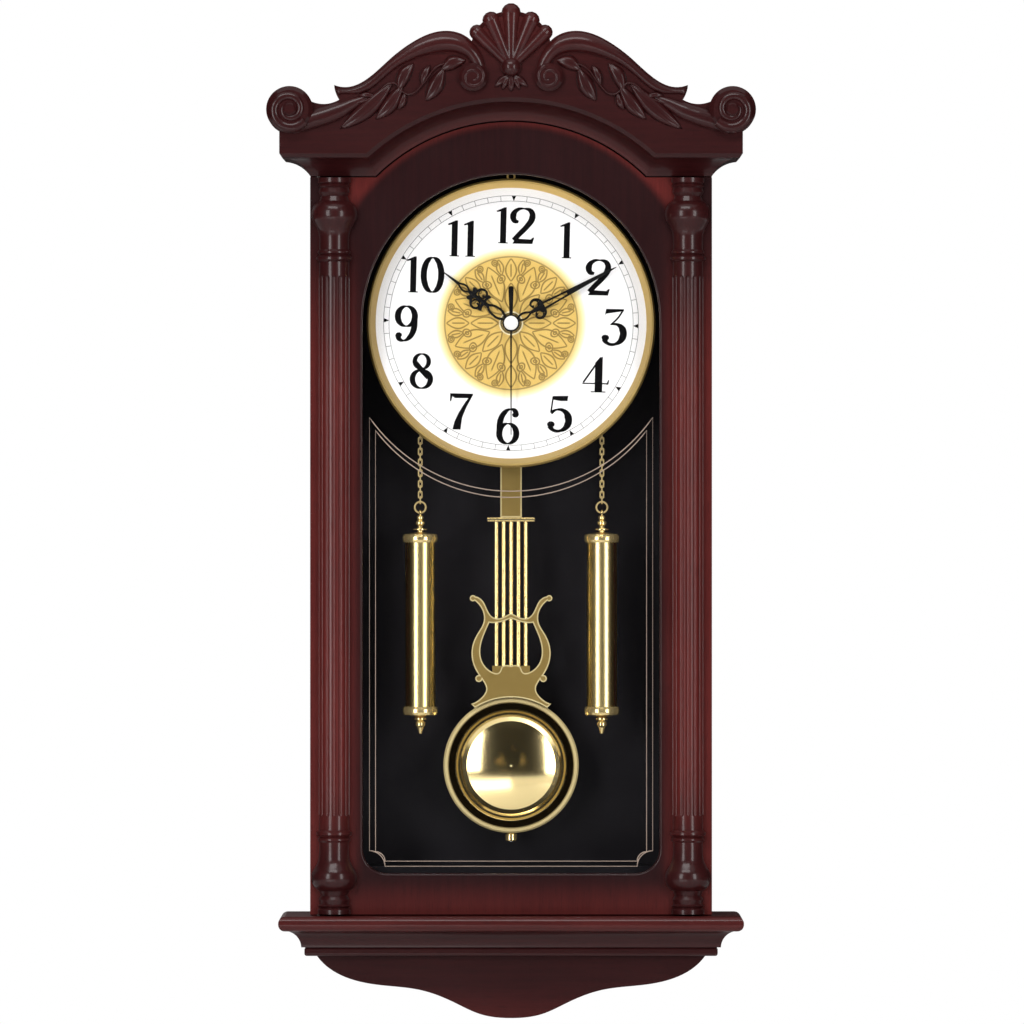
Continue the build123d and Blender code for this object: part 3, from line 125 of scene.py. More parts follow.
class Finish:
    """A principled material with object coordinates in millimetres from the lowest edge."""

    def __init__(self, name, **constants):
        self.material = bpy.data.materials.new(name)
        self.material.use_nodes = True
        self.tree = self.material.node_tree
        self.shader = self.tree.nodes["Principled BSDF"]
        for key, value in constants.items():
            self.shader.inputs[key.replace("_", " ")].default_value = value
        coordinates = self.tree.nodes.new("ShaderNodeTexCoord")
        self.object = Value(self.tree, coordinates.outputs["Object"])
        self.x = self.object.node("ShaderNodeSeparateXYZ", 0, {}, (0, self.object)) * PER_METRE
        self.z = self.object.node("ShaderNodeSeparateXYZ", 2, {}, (0, self.object)) * PER_METRE + HANGER

    def noise(self, scale, detail, stretch=(1.0, 1.0, 1.0)):
        spread = self.object.node("ShaderNodeMapping", 0, {}, ("Vector", self.object), ("Scale", stretch))
        return self.object.node("ShaderNodeTexNoise", 0, {}, ("Vector", spread), ("Scale", scale),
                                ("Detail", detail))

    def radius(self, z):
        """Distance from a point on the middle line, seen from the front."""
        return (self.x * self.x + (self.z - z) * (self.z - z)) ** 0.5

    def feed(self, socket, value):
        self.tree.links.new(value.socket, self.shader.inputs[socket])

    def bump(self, height, strength, distance):
        self.feed("Normal", self.object.node("ShaderNodeBump", 0, {}, ("Strength", strength),
                                             ("Distance", distance), ("Height", height)))


# Finishes


def shade(colour, factor):
    """A colour made lighter or darker, with its alpha."""
    return (*[channel * factor for channel in colour], 1.0)


# Two tones of the wood; how much of each shows is painted light, red for painted highlights and dark for
# painted shade
DARK_LACQUER = (0.0080, 0.0020, 0.0026, 1), (0.0190, 0.0040, 0.0046, 1)
RED_WOOD = (0.072, 0.0090, 0.0080, 1), (0.125, 0.0165, 0.0140, 1)
PORE = (0.006, 0.0018, 0.0020, 1)
# Stretch of the noise that makes the grain run up or across
UPRIGHT = (30.0, 30.0, 1.6)
ACROSS = (1.6, 30.0, 30.0)


def mahogany(name, stretch, painted_light):
    """Dark red lacquered wood; the share of red is painted light: red where highlights are painted, dark
    lacquer where shade is painted.
    """
    finish = Finish(name, Specular_IOR_Level=0.10, Coat_Weight=0.28, Coat_Roughness=0.14)
    grain = finish.noise(9.0, 5.0, stretch)
    pores = finish.noise(55.0, 2.0, stretch).ramp(0.52, 0.72)
    cloud = finish.noise(14.0, 2.0)
    # Painted light: the red share stands for highlights and its lack for shade
    red = painted_light(finish) * (0.75 + 0.5 * cloud)
    tone = red.mix(grain.mix(*DARK_LACQUER), grain.mix(*RED_WOOD))
    finish.feed("Base Color", (pores * 0.35).mix(tone, PORE))
    finish.feed("Roughness", 0.30 + 0.16 * cloud)
    finish.bump(pores, 0.12, 0.0002)
    return finish.material


def even_painted_light(share):
    """The same share of red painted light all over a part."""
    def painted_light(finish):
        return share
    return painted_light


def door_painted_light(finish):
    """Painted light: red painted highlights in a band under the crown's arch, along the stiles and on the
    foot rail, dark round the window.
    """
    radius = finish.radius(ARCH_Z)
    arch = radius.ramp(ARCH_LIP - 8.0, ARCH_LIP) * radius.ramp(ARCH_LIP + 25.0, ARCH_LIP + 5.0)
    arch = arch * finish.z.ramp(565.0, 620.0) * 0.8
    stile = abs(finish.x).ramp(STILE_INNER, STILE_OUTER) * finish.z.ramp(600.0, 480.0) * 0.7
    foot = finish.z.ramp(FOOT_RAIL_TOP, FOOT_RAIL_TOP - 24.0) * 0.5
    return arch.larger(stile).larger(foot) + 0.02


def crown_painted_light(finish):
    """Dark board with red painted highlights towards the arch's lip and the top of the carving."""
    lip = finish.radius(ARCH_Z).ramp(ARCH_LIP + 9.0, ARCH_LIP) * finish.z.ramp(610.0, 640.0) * 0.25
    crest = finish.z.ramp(690.0, 745.0) * 0.22
    return lip + crest + 0.13


def apron_painted_light(finish):
    """Dark, with red painted light growing towards the lowest edge."""
    return finish.z.ramp(26.0, 0.0) * 0.22 + 0.10


def column_painted_light(finish):
    """Red painted highlight along the flutes, painted shade at the turned ends."""
    return finish.z.ramp(560.0, 460.0) * finish.z.ramp(110.0, 190.0) * 0.65 + 0.15


def metal(name, colour, roughness, shine=1.0, stretch=(1.0, 1.0, 1.0)):
    """Metal with fine streaks in its polish."""
    finish = Finish(name, Metallic=shine)
    streak = finish.noise(160.0, 4.0, stretch)
    finish.feed("Base Color", streak.mix(shade(colour, 0.93), shade(colour, 1.06)))
    finish.feed("Roughness", roughness * (0.8 + 0.4 * streak))
    return finish.material


def plain(name, colour, roughness, grain=0.1, scale=120.0, bump=0.0, specular=0.4):
    """One colour, lightly mottled, with an uneven sheen."""
    finish = Finish(name, Specular_IOR_Level=specular)
    cloud = finish.noise(scale, 4.0)
    finish.feed("Base Color", cloud.mix(shade(colour, 1.0 - grain), shade(colour, 1.0 + grain)))
    finish.feed("Roughness", roughness * (0.85 + 0.3 * cloud))
    if bump:
        finish.bump(cloud, bump, 0.0004)
    return finish.material


HUB_RADIUS = 8.4
ENGRAVING_RADIUS = 49.3
GOLD_RADIUS = 55.0
GOLD = (0.65, 0.42, 0.09, 1), (0.77, 0.54, 0.155, 1)
ENGRAVED_GOLD = (0.20, 0.12, 0.02, 1)
PALE_GOLD = (0.90, 0.80, 0.42, 1)
HUB_GOLD = (0.95, 0.88, 0.62, 1)
DIAL_WHITE = (0.905, 0.9, 0.91, 1), (0.925, 0.92, 0.93, 1)


def dial_paint():
    """White dial with a gold field whose engraving is a generic rosette."""
    finish = Finish("dial_paint")
    radius = finish.radius(DIAL_Z)
    angle = finish.z.math("ARCTAN2", finish.z - DIAL_Z, finish.x)

    def line(distance, width):
        """A soft line where a distance is nothing."""
        return abs(distance).ramp(width, width * 0.35)

    def aside(count, turn):
        """Distance from the nearest of some evenly spaced spokes."""
        return radius * angle.math("PINGPONG", angle + turn, math.pi / count)

    def leaf_lines(count, turn, near, far, width):
        """Outlines and veins of a ring of leaves."""
        along = (radius - near) * (1.0 / (far - near))
        inside = radius.ramp(near - 0.5, near + 0.5) * radius.ramp(far + 0.5, far - 0.5)
        rim = aside(count, turn) - width * along.math("SINE", along * math.pi)
        vein = line(aside(count, turn), 0.8) * along.ramp(0.15, 0.25) * along.ramp(0.8, 0.7)
        return line(rim, 0.9).larger(vein) * inside

    def curls(count, turn, reach, offset, size):
        """Pairs of small double rings, one on each side of every spoke."""
        far = ((radius - reach) ** 2.0 + (aside(count, turn) - offset) ** 2.0) ** 0.5
        return line(far - size, 0.8).larger(line(far - size * 0.4, 0.7))

    eighth = math.pi / 8
    marks = leaf_lines(8, 0.0, 9.0, 30.0, 4.6)
    for lines in (leaf_lines(8, eighth, 17.0, 45.0, 6.4), leaf_lines(8, 0.0, 31.0, 48.0, 4.0),
                  leaf_lines(16, eighth / 2, 36.0, 48.0, 2.6), curls(8, 0.0, 33.5, 7.4, 2.9),
                  curls(8, eighth, 46.0, 6.0, 2.2), line(radius - ENGRAVING_RADIUS, 0.8)):
        marks = marks.larger(lines)
    marks = marks * radius.ramp(ENGRAVING_RADIUS + 1.7, ENGRAVING_RADIUS + 0.2)
    cloud = finish.noise(60.0, 3.0)
    gold = (marks * 0.85).mix(cloud.mix(*GOLD), ENGRAVED_GOLD)
    gold = radius.ramp(GOLD_RADIUS - 7.0, GOLD_RADIUS - 0.5).mix(gold, PALE_GOLD)
    gold = radius.ramp(HUB_RADIUS + 1.0, HUB_RADIUS).mix(gold, HUB_GOLD)
    face = radius.ramp(GOLD_RADIUS - 2.5, GOLD_RADIUS + 2.5)
    finish.feed("Base Color", face.mix(gold, cloud.mix(*DIAL_WHITE)))
    finish.feed("Metallic", radius.ramp(GOLD_RADIUS + 2.0, GOLD_RADIUS - 3.0) * 0.12)
    finish.feed("Roughness", 0.42 + 0.08 * cloud)
    return finish.material


def glass_sheet():
    """Thin clear glass: see-through, with more mirror where it is seen aslant."""
    material = bpy.data.materials.new("glass_sheet")
    material.use_nodes = True
    tree = material.node_tree
    tree.nodes.clear()
    clear = tree.nodes.new("ShaderNodeBsdfTransparent")
    mirror = tree.nodes.new("ShaderNodeBsdfGlossy")
    mirror.inputs["Roughness"].default_value = 0.02
    blend = tree.nodes.new("ShaderNodeMixShader")
    out = tree.nodes.new("ShaderNodeOutputMaterial")
    slant = tree.nodes.new("ShaderNodeFresnel")
    slant.inputs["IOR"].default_value = 1.45
    share = Value(tree, slant.outputs[0]) * 0.35
    tree.links.new(share.socket, blend.inputs[0])
    tree.links.new(clear.outputs[0], blend.inputs[1])
    tree.links.new(mirror.outputs[0], blend.inputs[2])
    tree.links.new(blend.outputs[0], out.inputs[0])
    return material


DISH_RADIUS = 41.2
RIM_RADIUS = 46.8
DISH_BRASS = (0.93, 0.74, 0.36, 1)
BOB_RIM_BRASS = (0.78, 0.63, 0.31, 1)
# Near-black painted shade for the deep groove of the bob
GROOVE_SHADE = (0.020, 0.013, 0.005, 1)


def bob_brass():
    """Polished brass, spun in rings, with painted shade in the groove between the rim and the dish."""
    finish = Finish("bob_brass")
    radius = finish.radius(BOB_Z)
    groove = radius.ramp(DISH_RADIUS, DISH_RADIUS + 0.7) * radius.ramp(RIM_RADIUS, RIM_RADIUS - 0.6)
    rim = radius.ramp(RIM_RADIUS - 0.8, RIM_RADIUS)
    spun = radius.math("SINE", radius * 9.0) * 0.5 + 0.5
    finish.feed("Base Color", groove.mix(rim.mix(DISH_BRASS, BOB_RIM_BRASS), GROOVE_SHADE))
    finish.feed("Roughness", 0.10 + 0.05 * spun + 0.14 * groove)
    finish.feed("Metallic", 1.0 - 0.75 * rim)
    return finish.material


BEZEL_SHADE = (0.30, 0.21, 0.075, 1)
BEZEL_LIGHT = (0.76, 0.52, 0.16, 1)


def bezel_brass():
    """Satin brass turned on a lathe, its fine rings in the roughness, with painted sheen round the dial: a
    painted highlight at the upper right and painted shade at the lower left.
    """
    finish = Finish("bezel_brass")
    radius = finish.radius(DIAL_Z)
    angle = finish.z.math("ARCTAN2", finish.z - DIAL_Z, finish.x)
    # Painted sheen: lighter towards the upper right, darker towards the lower left
    upper_right = angle.math("COSINE", angle - 1.05)
    two_sides = angle.math("COSINE", angle * 2.0 - 2.8)
    sheen = 0.55 + 0.3 * upper_right + 0.15 * two_sides
    turned = radius.math("SINE", radius * 14.0) * 0.5 + 0.5
    finish.feed("Base Color", sheen.mix(BEZEL_SHADE, BEZEL_LIGHT))
    finish.feed("Roughness", 0.38 + 0.06 * turned)
    finish.feed("Metallic", 0.5 + 0.1 * turned)
    return finish.material


BRASS = metal("polished_brass", (0.80, 0.62, 0.28), 0.20, 0.8)
FLAT_BRASS = metal("flat_brass", (0.28, 0.19, 0.05), 0.34, 0.35)
TUBE_BRASS = metal("tube_brass", (0.68, 0.54, 0.24), 0.27, 1.0, (1.0, 1.0, 0.02))
CHAIN_BRASS = metal("chain_brass", (0.82, 0.64, 0.30), 0.25, 0.5)
# Bright brass for the painted highlights along the outlines of the flat pieces
RIM_HIGHLIGHT_BRASS = metal("rim_highlight_brass", (0.84, 0.70, 0.36), 0.20, 0.3)
BEZEL = bezel_brass()
STEEL = metal("steel", (0.55, 0.55, 0.55), 0.35)
DARK_STEEL = metal("dark_steel", (0.09, 0.08, 0.075), 0.45)
COPPER = metal("copper_wire", (0.72, 0.28, 0.10), 0.3)
BLACK = plain("black_enamel", (0.003, 0.003, 0.0035), 0.35, specular=0.2)
INK = plain("dial_ink", (0.002, 0.002, 0.0025), 0.7, specular=0.06)
LINE = plain("glass_print", (0.36, 0.275, 0.22), 0.5)
PANEL = plain("black_panel", (0.0085, 0.0075, 0.0095), 0.42, 0.25, 30.0, 0.05, 0.12)
PLASTIC = plain("black_plastic", (0.012, 0.012, 0.013), 0.5, 0.2, 400.0, 0.1)
GEAR = plain("gear_plastic", (0.75, 0.75, 0.70), 0.4)
CAP = plain("white_cap", (0.86, 0.86, 0.84), 0.25)
FIBRE = plain("fibre_board", (0.30, 0.19, 0.10), 0.75, 0.3, 700.0, 0.3)
PILLAR = plain("pillar_wood", (0.45, 0.30, 0.16), 0.6, 0.25, 60.0)
CIRCUIT = plain("circuit_green", (0.01, 0.10, 0.04), 0.3, 0.2)
CELL = plain("cell_wrap", (0.02, 0.05, 0.16), 0.3)
# Each wood part gets its own share of red painted light: lit parts redder, shaded parts darker
WOOD_UP = mahogany("mahogany_upright", UPRIGHT, even_painted_light(0.42))
WOOD_SHELF = mahogany("mahogany_shelf", ACROSS, even_painted_light(0.48))
WOOD_BASE = mahogany("mahogany_base", ACROSS, even_painted_light(0.14))
WOOD_APRON = mahogany("mahogany_apron", ACROSS, apron_painted_light)
WOOD_CROWN = mahogany("mahogany_crown", ACROSS, crown_painted_light)
WOOD_DOOR = mahogany("mahogany_door", UPRIGHT, door_painted_light)
WOOD_COLUMN = mahogany("mahogany_column", UPRIGHT, column_painted_light)
DIAL = dial_paint()
GLASS = glass_sheet()
BOB = bob_brass()

finish_of = {
    WOOD_UP: ["case_side_left", "case_side_right", "glass_bead"],
    WOOD_SHELF: ["shelf"],
    WOOD_BASE: ["base_moulding"],
    WOOD_APRON: ["apron"],
    WOOD_CROWN: ["crown_board", "crown_sides", "crest_scrolls", "volutes", "shell_finial"],
    WOOD_DOOR: ["door_frame"],
    WOOD_COLUMN: ["column_left", "column_right"],
    PANEL: ["back_board", "case_ends"],
    FIBRE: ["dial_board"],
    PILLAR: ["dial_pillars"],
    DIAL: ["dial_plate"],
    BEZEL: ["bezel"],
    FLAT_BRASS: ["lyre_plate", "pendulum_strip"],
    TUBE_BRASS: ["weight_tube_left", "weight_tube_right"],
    BRASS: ["lyre_grid", "rating_nut", "bush_nut", "centre_bush", "weight_caps_left", "weight_caps_right"],
    CHAIN_BRASS: ["weight_chain_left", "weight_chain_right"],
    BOB: ["pendulum_bob"],
    STEEL: ["hanger_plate", "bob_rod", "chain_hooks", "catch_magnet", "stator", "battery_contacts"],
    DARK_STEEL: ["door_hardware"],
    PLASTIC: ["movement_case", "movement_cover", "suspension_arm"],
    GEAR: ["hour_wheel", "minute_wheel", "second_wheel", "third_wheel", "step_wheel", "motion_wheel",
           "setting_knob", "rotor"],
    BLACK: ["hour_hand", "minute_hand", "second_hand"],
    CAP: ["hand_cap"],
    GLASS: ["door_glass"],
    CIRCUIT: ["circuit_board"],
    COPPER: ["coils"],
    CELL: ["battery"],
}
for material, names in finish_of.items():
    for name in names:
        nodes[name].data.materials.clear()
        nodes[name].data.materials.append(material)


# Building new pieces


def piece(name, mesh, material, body, smooth=True):
    """Finish a new piece and let it ride on its body."""
    data = bpy.data.meshes.new(name)
    mesh.to_mesh(data)
    mesh.free()
    data.materials.append(material)
    if smooth:
        data.shade_smooth()
    thing = bpy.data.objects.new(name, data)
    scene.collection.objects.link(thing)
    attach(thing, body)


def add(mesh, other):
    """Join a finished shape to a mesh."""
    data = bpy.data.meshes.new("shape")
    other.to_mesh(data)
    other.free()
    mesh.from_mesh(data)
    bpy.data.meshes.remove(data)


def face_front(mesh):
    """Turn the faces of a relief towards the front."""
    mesh.normal_update()
    away = [face for face in mesh.faces if face.normal.y > 0.0]
    bmesh.ops.reverse_faces(mesh, faces=away)


def draw(mesh, points, halves, depth, rise, closed=False, bent=True, sides=1, sunk=False):
    """Draw a line of varying half width in the front plane with a curve's round bevel.

    rise is the bevel's height over its half width, so a small one gives flat print and a large one
    a rounded moulding; a sunk line loses the half behind the plane at depth."""
    curve = bpy.data.curves.new("line", "CURVE")
    curve.dimensions = "3D"
    curve.bevel_depth = 1.0
    curve.bevel_resolution = sides
    curve.use_fill_caps = True
    spline = curve.splines.new("BEZIER")
    spline.bezier_points.add(len(points) - 1)
    spline.use_cyclic_u = closed
    spline.resolution_u = 5 if bent else 1
    for knot, point, half in zip(spline.bezier_points, points, halves):
        knot.handle_left_type = "AUTO" if bent else "VECTOR"
        knot.handle_right_type = "AUTO" if bent else "VECTOR"
        knot.co = (point[0], 0.0, point[1])
        knot.radius = half
    holder = bpy.data.objects.new("line", curve)
    data = bpy.data.meshes.new_from_object(holder)
    bpy.data.objects.remove(holder)
    bpy.data.curves.remove(curve)
    line = bmesh.new()
    line.from_mesh(data)
    bpy.data.meshes.remove(data)
    if sunk:
        everything = line.verts[:] + line.edges[:] + line.faces[:]
        bmesh.ops.bisect_plane(line, geom=everything, plane_co=(0, 0, 0), plane_no=(0, 1, 0),
                               clear_outer=True)
    scale = 1.0 / PER_METRE
    shape = Matrix.Translation(place(0, depth, 0)) @ Matrix.Diagonal((scale, scale * rise, scale, 1.0))
    bmesh.ops.transform(line, matrix=shape, verts=line.verts)
    add(mesh, line)


def polygon(mesh, points, depth):
    """A flat printed shape that faces the front."""
    face = mesh.faces.new([mesh.verts.new(place(x, depth, z)) for x, z in points])
    face.normal_update()
    if face.normal.y > 0.0:
        face.normal_flip()


def around(centre, width, height, count):
    """Points round an upright ellipse, from its half width and half height."""
    turns = [2 * math.pi * index / count for index in range(count)]
    return [(centre[0] + width * math.cos(turn), centre[1] + height * math.sin(turn)) for turn in turns]


def thinning(first, last, count):
    """Half widths that change evenly along a line."""
    return [first + (last - first) * index / (count - 1) for index in range(count)]


# Dial numerals: pen strokes, thick where they run upright, and flat shapes, one unit high
THICK = 0.24
THIN = 0.042
BALL = around((0.095, 0.20), 0.085, 0.085, 20)
HALF_GAP = 0.03
TURNED_WIDTH = 0.54
PRINT_DEPTH = DIAL_FACE + 0.06
PRINT_RISE = 0.01

STROKES = {
    "0": [(around((0.25, 0.5), 0.195, 0.475, 12), True, 0.20)],
    "1": [],
    "2": [([(0.16, 0.60), (0.07, 0.64), (0.04, 0.78), (0.12, 0.93), (0.28, 0.975), (0.44, 0.90),
            (0.465, 0.72), (0.36, 0.50), (0.18, 0.26), (0.06, 0.09)], False, 0.21)],
    "3": [([(0.485, 0.98), (0.36, 0.74), (0.22, 0.57)], False, 0.06),
          ([(0.20, 0.57), (0.36, 0.57), (0.475, 0.44), (0.475, 0.20), (0.32, 0.03), (0.14, 0.05),
            (0.07, 0.17)], False, THICK)],
    "4": [([(0.40, 0.97), (0.02, 0.27)], False, 0.06), ([(0.0, 0.245), (0.58, 0.245)], False, 0.06)],
    "5": [([(0.135, 0.97), (0.09, 0.52)], False, 0.05),
          ([(0.09, 0.52), (0.22, 0.61), (0.38, 0.58), (0.475, 0.42), (0.465, 0.19), (0.31, 0.03),
            (0.14, 0.05), (0.07, 0.17)], False, THICK)],
    "6": [(around((0.27, 0.30), 0.19, 0.275, 12), True, 0.20),
          ([(0.45, 0.80), (0.42, 0.93), (0.32, 0.975), (0.19, 0.88), (0.10, 0.66), (0.085, 0.36)],
           False, 0.20)],
    "7": [],
    "8": [(around((0.27, 0.765), 0.155, 0.205, 12), True, 0.15),
          (around((0.27, 0.275), 0.2, 0.25, 12), True, 0.18),
          ([(0.13, 0.72), (0.26, 0.54), (0.43, 0.32)], False, 0.22)],
}
SHAPES = {
    "0": [],
    "1": [[(0.11, 0.0), (0.245, 0.0), (0.245, 1.0), (0.20, 1.0), (0.11, 0.94)],
          [(0.11, 0.94), (0.20, 1.0), (0.02, 0.90), (0.035, 0.865), (0.11, 0.885)],
          [(0.07, 0.0), (0.285, 0.0), (0.285, 0.03), (0.07, 0.03)]],
    "2": [[(0.03, 0.0), (0.48, 0.0), (0.52, 0.18), (0.485, 0.18), (0.44, 0.125), (0.10, 0.145)]],
    "3": [[(0.10, 1.0), (0.50, 1.0), (0.50, 0.945), (0.10, 0.865), (0.075, 0.81)], BALL],
    "4": [[(0.275, 0.0), (0.445, 0.0), (0.445, 1.0), (0.36, 0.94), (0.275, 0.82)],
          [(0.53, 0.22), (0.58, 0.22), (0.60, 0.35), (0.575, 0.35)],
          [(0.19, 0.0), (0.52, 0.0), (0.52, 0.03), (0.19, 0.03)]],
    "5": [[(0.13, 0.985), (0.47, 1.0), (0.455, 0.855), (0.30, 0.85), (0.13, 0.885)], BALL],
    "6": [around((0.43, 0.82), 0.072, 0.072, 20)],
    "7": [[(0.03, 1.0), (0.55, 1.0), (0.53, 0.94), (0.46, 0.875), (0.14, 0.87), (0.085, 0.92),
           (0.055, 0.78), (0.03, 0.78)],
          [(0.10, 0.0), (0.28, 0.0), (0.31, 0.33), (0.40, 0.62), (0.545, 0.97), (0.47, 0.93), (0.36, 0.74),
           (0.23, 0.47), (0.14, 0.22)]],
    "8": [],
}
ADVANCE = {"0": 0.56, "1": 0.355, "2": 0.58, "3": 0.58, "4": 0.62, "5": 0.58, "6": 0.56, "7": 0.58,
           "8": 0.56}


def half_turned(points):
    """A six turned round gives a nine."""
    return [(TURNED_WIDTH - x, 1.0 - y) for x, y in points]


STROKES["9"] = [(half_turned(points), closed, thick) for points, closed, thick in STROKES["6"]]
SHAPES["9"] = [half_turned(points) for points in SHAPES["6"]]
ADVANCE["9"] = ADVANCE["6"]


def pen_halves(points, closed, thick):
    """Half widths of a broad pen: thick along upright runs, thin along level ones."""
    halves = []
    last = len(points) - 1
    for index in range(len(points)):
        before = points[index - 1] if closed else points[max(0, index - 1)]
        after = points[(index + 1) % len(points)] if closed else points[min(last, index + 1)]
        along = (Vector(after) - Vector(before)).normalized()
        halves.append((THIN + (thick - THIN) * abs(along.y) ** 1.5) / 2)
    return halves


NUMERAL_HEIGHT = 26.8
NUMERAL_STRETCH = 1.24
NUMERALS = {"12": (2.9, 72.4), "1": (40.4, 61.5), "2": (64.9, 34.0), "3": (75.6, -2.9),
            "4": (62.4, -38.0), "5": (35.2, -67.2), "6": (-3.0, -76.6), "7": (-37.9, -65.6),
            "8": (-67.1, -35.5), "9": (-78.5, -0.2), "10": (-64.2, 36.0), "11": (-37.0, 62.8)}


def on_dial(points, left, centre):
    """Numeral units to millimetres on the dial, with the dial's slight turn."""
    placed = []
    for x, y in points:
        x = (x + left) * NUMERAL_HEIGHT * NUMERAL_STRETCH
        y = (y - 0.5) * NUMERAL_HEIGHT
        placed.append((centre[0] + x * math.cos(DIAL_TILT) + y * math.sin(DIAL_TILT),
                       DIAL_Z + centre[1] + y * math.cos(DIAL_TILT) - x * math.sin(DIAL_TILT)))
    return placed


ink = bmesh.new()
for text, centre in NUMERALS.items():
    left = HALF_GAP - sum(ADVANCE[mark] for mark in text) / 2
    for mark in text:
        for points, closed, thick in STROKES[mark]:
            halves = [half * NUMERAL_HEIGHT for half in pen_halves(points, closed, thick)]
            draw(ink, on_dial(points, left, centre), halves, PRINT_DEPTH, PRINT_RISE, closed)
        for points in SHAPES[mark]:
            polygon(ink, on_dial(points, left, centre), PRINT_DEPTH)
        left += ADVANCE[mark]
piece("dial_numerals", ink, INK, "case", smooth=False)

# Minute track: two fine rings, a tick for each minute and a small triangle for each hour
TRACK_OUTER = 94.6
TRACK_INNER = 90.6
TRACK_HALF = 0.17
TRACK_POINTS = 36
TRACK_RISE = 0.1
TICK_OUTER = 94.4
TICK_INNER = 90.8
TICK_HALF = 0.15
TRIANGLE_HALF = 1.6
TRIANGLE_TIP = 0.1
track = bmesh.new()
for radius in (TRACK_OUTER, TRACK_INNER):
    draw(track, around((0.0, DIAL_Z), radius, radius, TRACK_POINTS), [TRACK_HALF] * TRACK_POINTS,
         PRINT_DEPTH, TRACK_RISE, True)
for minute in range(60):
    turn = math.radians(90 - 6 * minute) - DIAL_TILT
    out = Vector((math.cos(turn), math.sin(turn)))
    side = Vector((-out.y, out.x))
    top = Vector((0.0, DIAL_Z)) + out * TICK_OUTER
    foot = Vector((0.0, DIAL_Z)) + out * TICK_INNER
    top_half = TICK_HALF if minute % 5 else TRIANGLE_HALF
    foot_half = TICK_HALF if minute % 5 else TRIANGLE_TIP
    polygon(track, [top + side * top_half, top - side * top_half,
                    foot - side * foot_half, foot + side * foot_half], PRINT_DEPTH)
piece("minute_track", track, INK, "case", smooth=False)

# Enamel of the pierced hands: points across and along the hand, then the first and last half width
ENAMEL_RISE = 0.12
HOUR_STROKES = [([(0.0, 5.0), (3.0, 10.0), (3.3, 14.0), (2.6, 18.0), (0.0, 22.6)], 0.95, 0.8),
                ([(0.0, 34.2), (3.6, 34.4), (7.3, 31.6), (6.9, 27.6), (4.2, 26.8), (3.3, 29.2)], 1.0, 0.8),
                ([(0.0, 25.0), (3.4, 25.2), (6.4, 23.6)], 1.1, 0.8),
                ([(0.0, 36.2), (2.6, 36.0), (4.9, 37.6)], 1.1, 1.0),
                ([(0.0, 38.2), (2.1, 43.0), (0.0, 49.6)], 0.8, 0.7)]
HOUR_POINTER = [([(0.0, 22.0), (0.0, 38.5)], 1.5, 1.3), ([(0.0, 49.0), (0.0, 62.8)], 1.2, 0.4)]
MINUTE_STROKES = [([(0.0, 4.4), (2.3, 10.5), (0.0, 17.4)], 0.85, 0.75),
                  ([(0.0, 25.6), (3.2, 27.0), (6.7, 24.6), (6.9, 20.8), (4.3, 19.0), (2.9, 21.0)],
                   1.2, 0.7),
                  ([(2.3, 26.5), (1.4, 48.0)], 0.75, 0.65)]
MINUTE_POINTER = [([(0.0, 16.5), (0.0, 27.5)], 1.1, 1.9), ([(0.0, 47.5), (0.0, 82.0)], 1.6, 1.1)]
HANDS = [("hour", HOUR_TURN, HOUR_FACE, HOUR_STROKES, HOUR_POINTER),
         ("minute", MINUTE_TURN, MINUTE_FACE, MINUTE_STROKES, MINUTE_POINTER)]
for body, turn, face, mirrored, single in HANDS:
    enamel = bmesh.new()
    strokes = [(points, first, last, 1) for points, first, last in mirrored + single]
    strokes += [(points, first, last, -1) for points, first, last in mirrored]
    for points, first, last, side in strokes:
        placed = [(side * across * math.cos(turn) + along * math.sin(turn),
                   DIAL_Z - side * across * math.sin(turn) + along * math.cos(turn))
                  for across, along in points]
        draw(enamel, placed, thinning(first, last, len(points)), face, ENAMEL_RISE, sides=2)
    piece(body + "_hand_enamel", enamel, BLACK, body)

# Two fine lines printed on the glass, dipped under the dial and looped in at the lower corners
GLASS_LINES = [(104.9, 444.6, 390.0, 112.2, 11.5), (100.4, 435.0, 385.4, 116.0, 7.0)]
GLASS_LINE_HALF = 0.43
GLASS_LINE_RISE = 0.05
GLASS_LINE_GAP = 0.05
ARC_STEPS = 40
CORNER_STEPS = 8
printed = bmesh.new()
for half, top, dip, low, notch in GLASS_LINES:
    rise = top - dip
    radius = (half * half + rise * rise) / (2 * rise)
    spread = math.asin(half / radius)
    turns = [spread * (1 - 2 * index / ARC_STEPS) for index in range(ARC_STEPS + 1)]
    arc = [(radius * math.sin(turn), dip + radius - radius * math.cos(turn)) for turn in turns]
    quarter = [math.pi / 2 * index / CORNER_STEPS for index in range(CORNER_STEPS + 1)]
    corner = [(notch * math.sin(turn) - half, low + notch * math.cos(turn)) for turn in quarter]
    loop = arc + corner + [(-x, z) for x, z in reversed(corner)]
    draw(printed, loop, [GLASS_LINE_HALF] * len(loop), GLASS_BACK - GLASS_LINE_GAP, GLASS_LINE_RISE, True,
         bent=False)
piece("glass_print", printed, LINE, "door", smooth=False)


# Painted highlights: bright rims along the outlines of flat brass pieces, in metres
RIM_WIDTH = 0.0009
RIM_LIFT = 0.00005
SAME_POINT = 1e-6
SAME_LEVEL = 2e-5


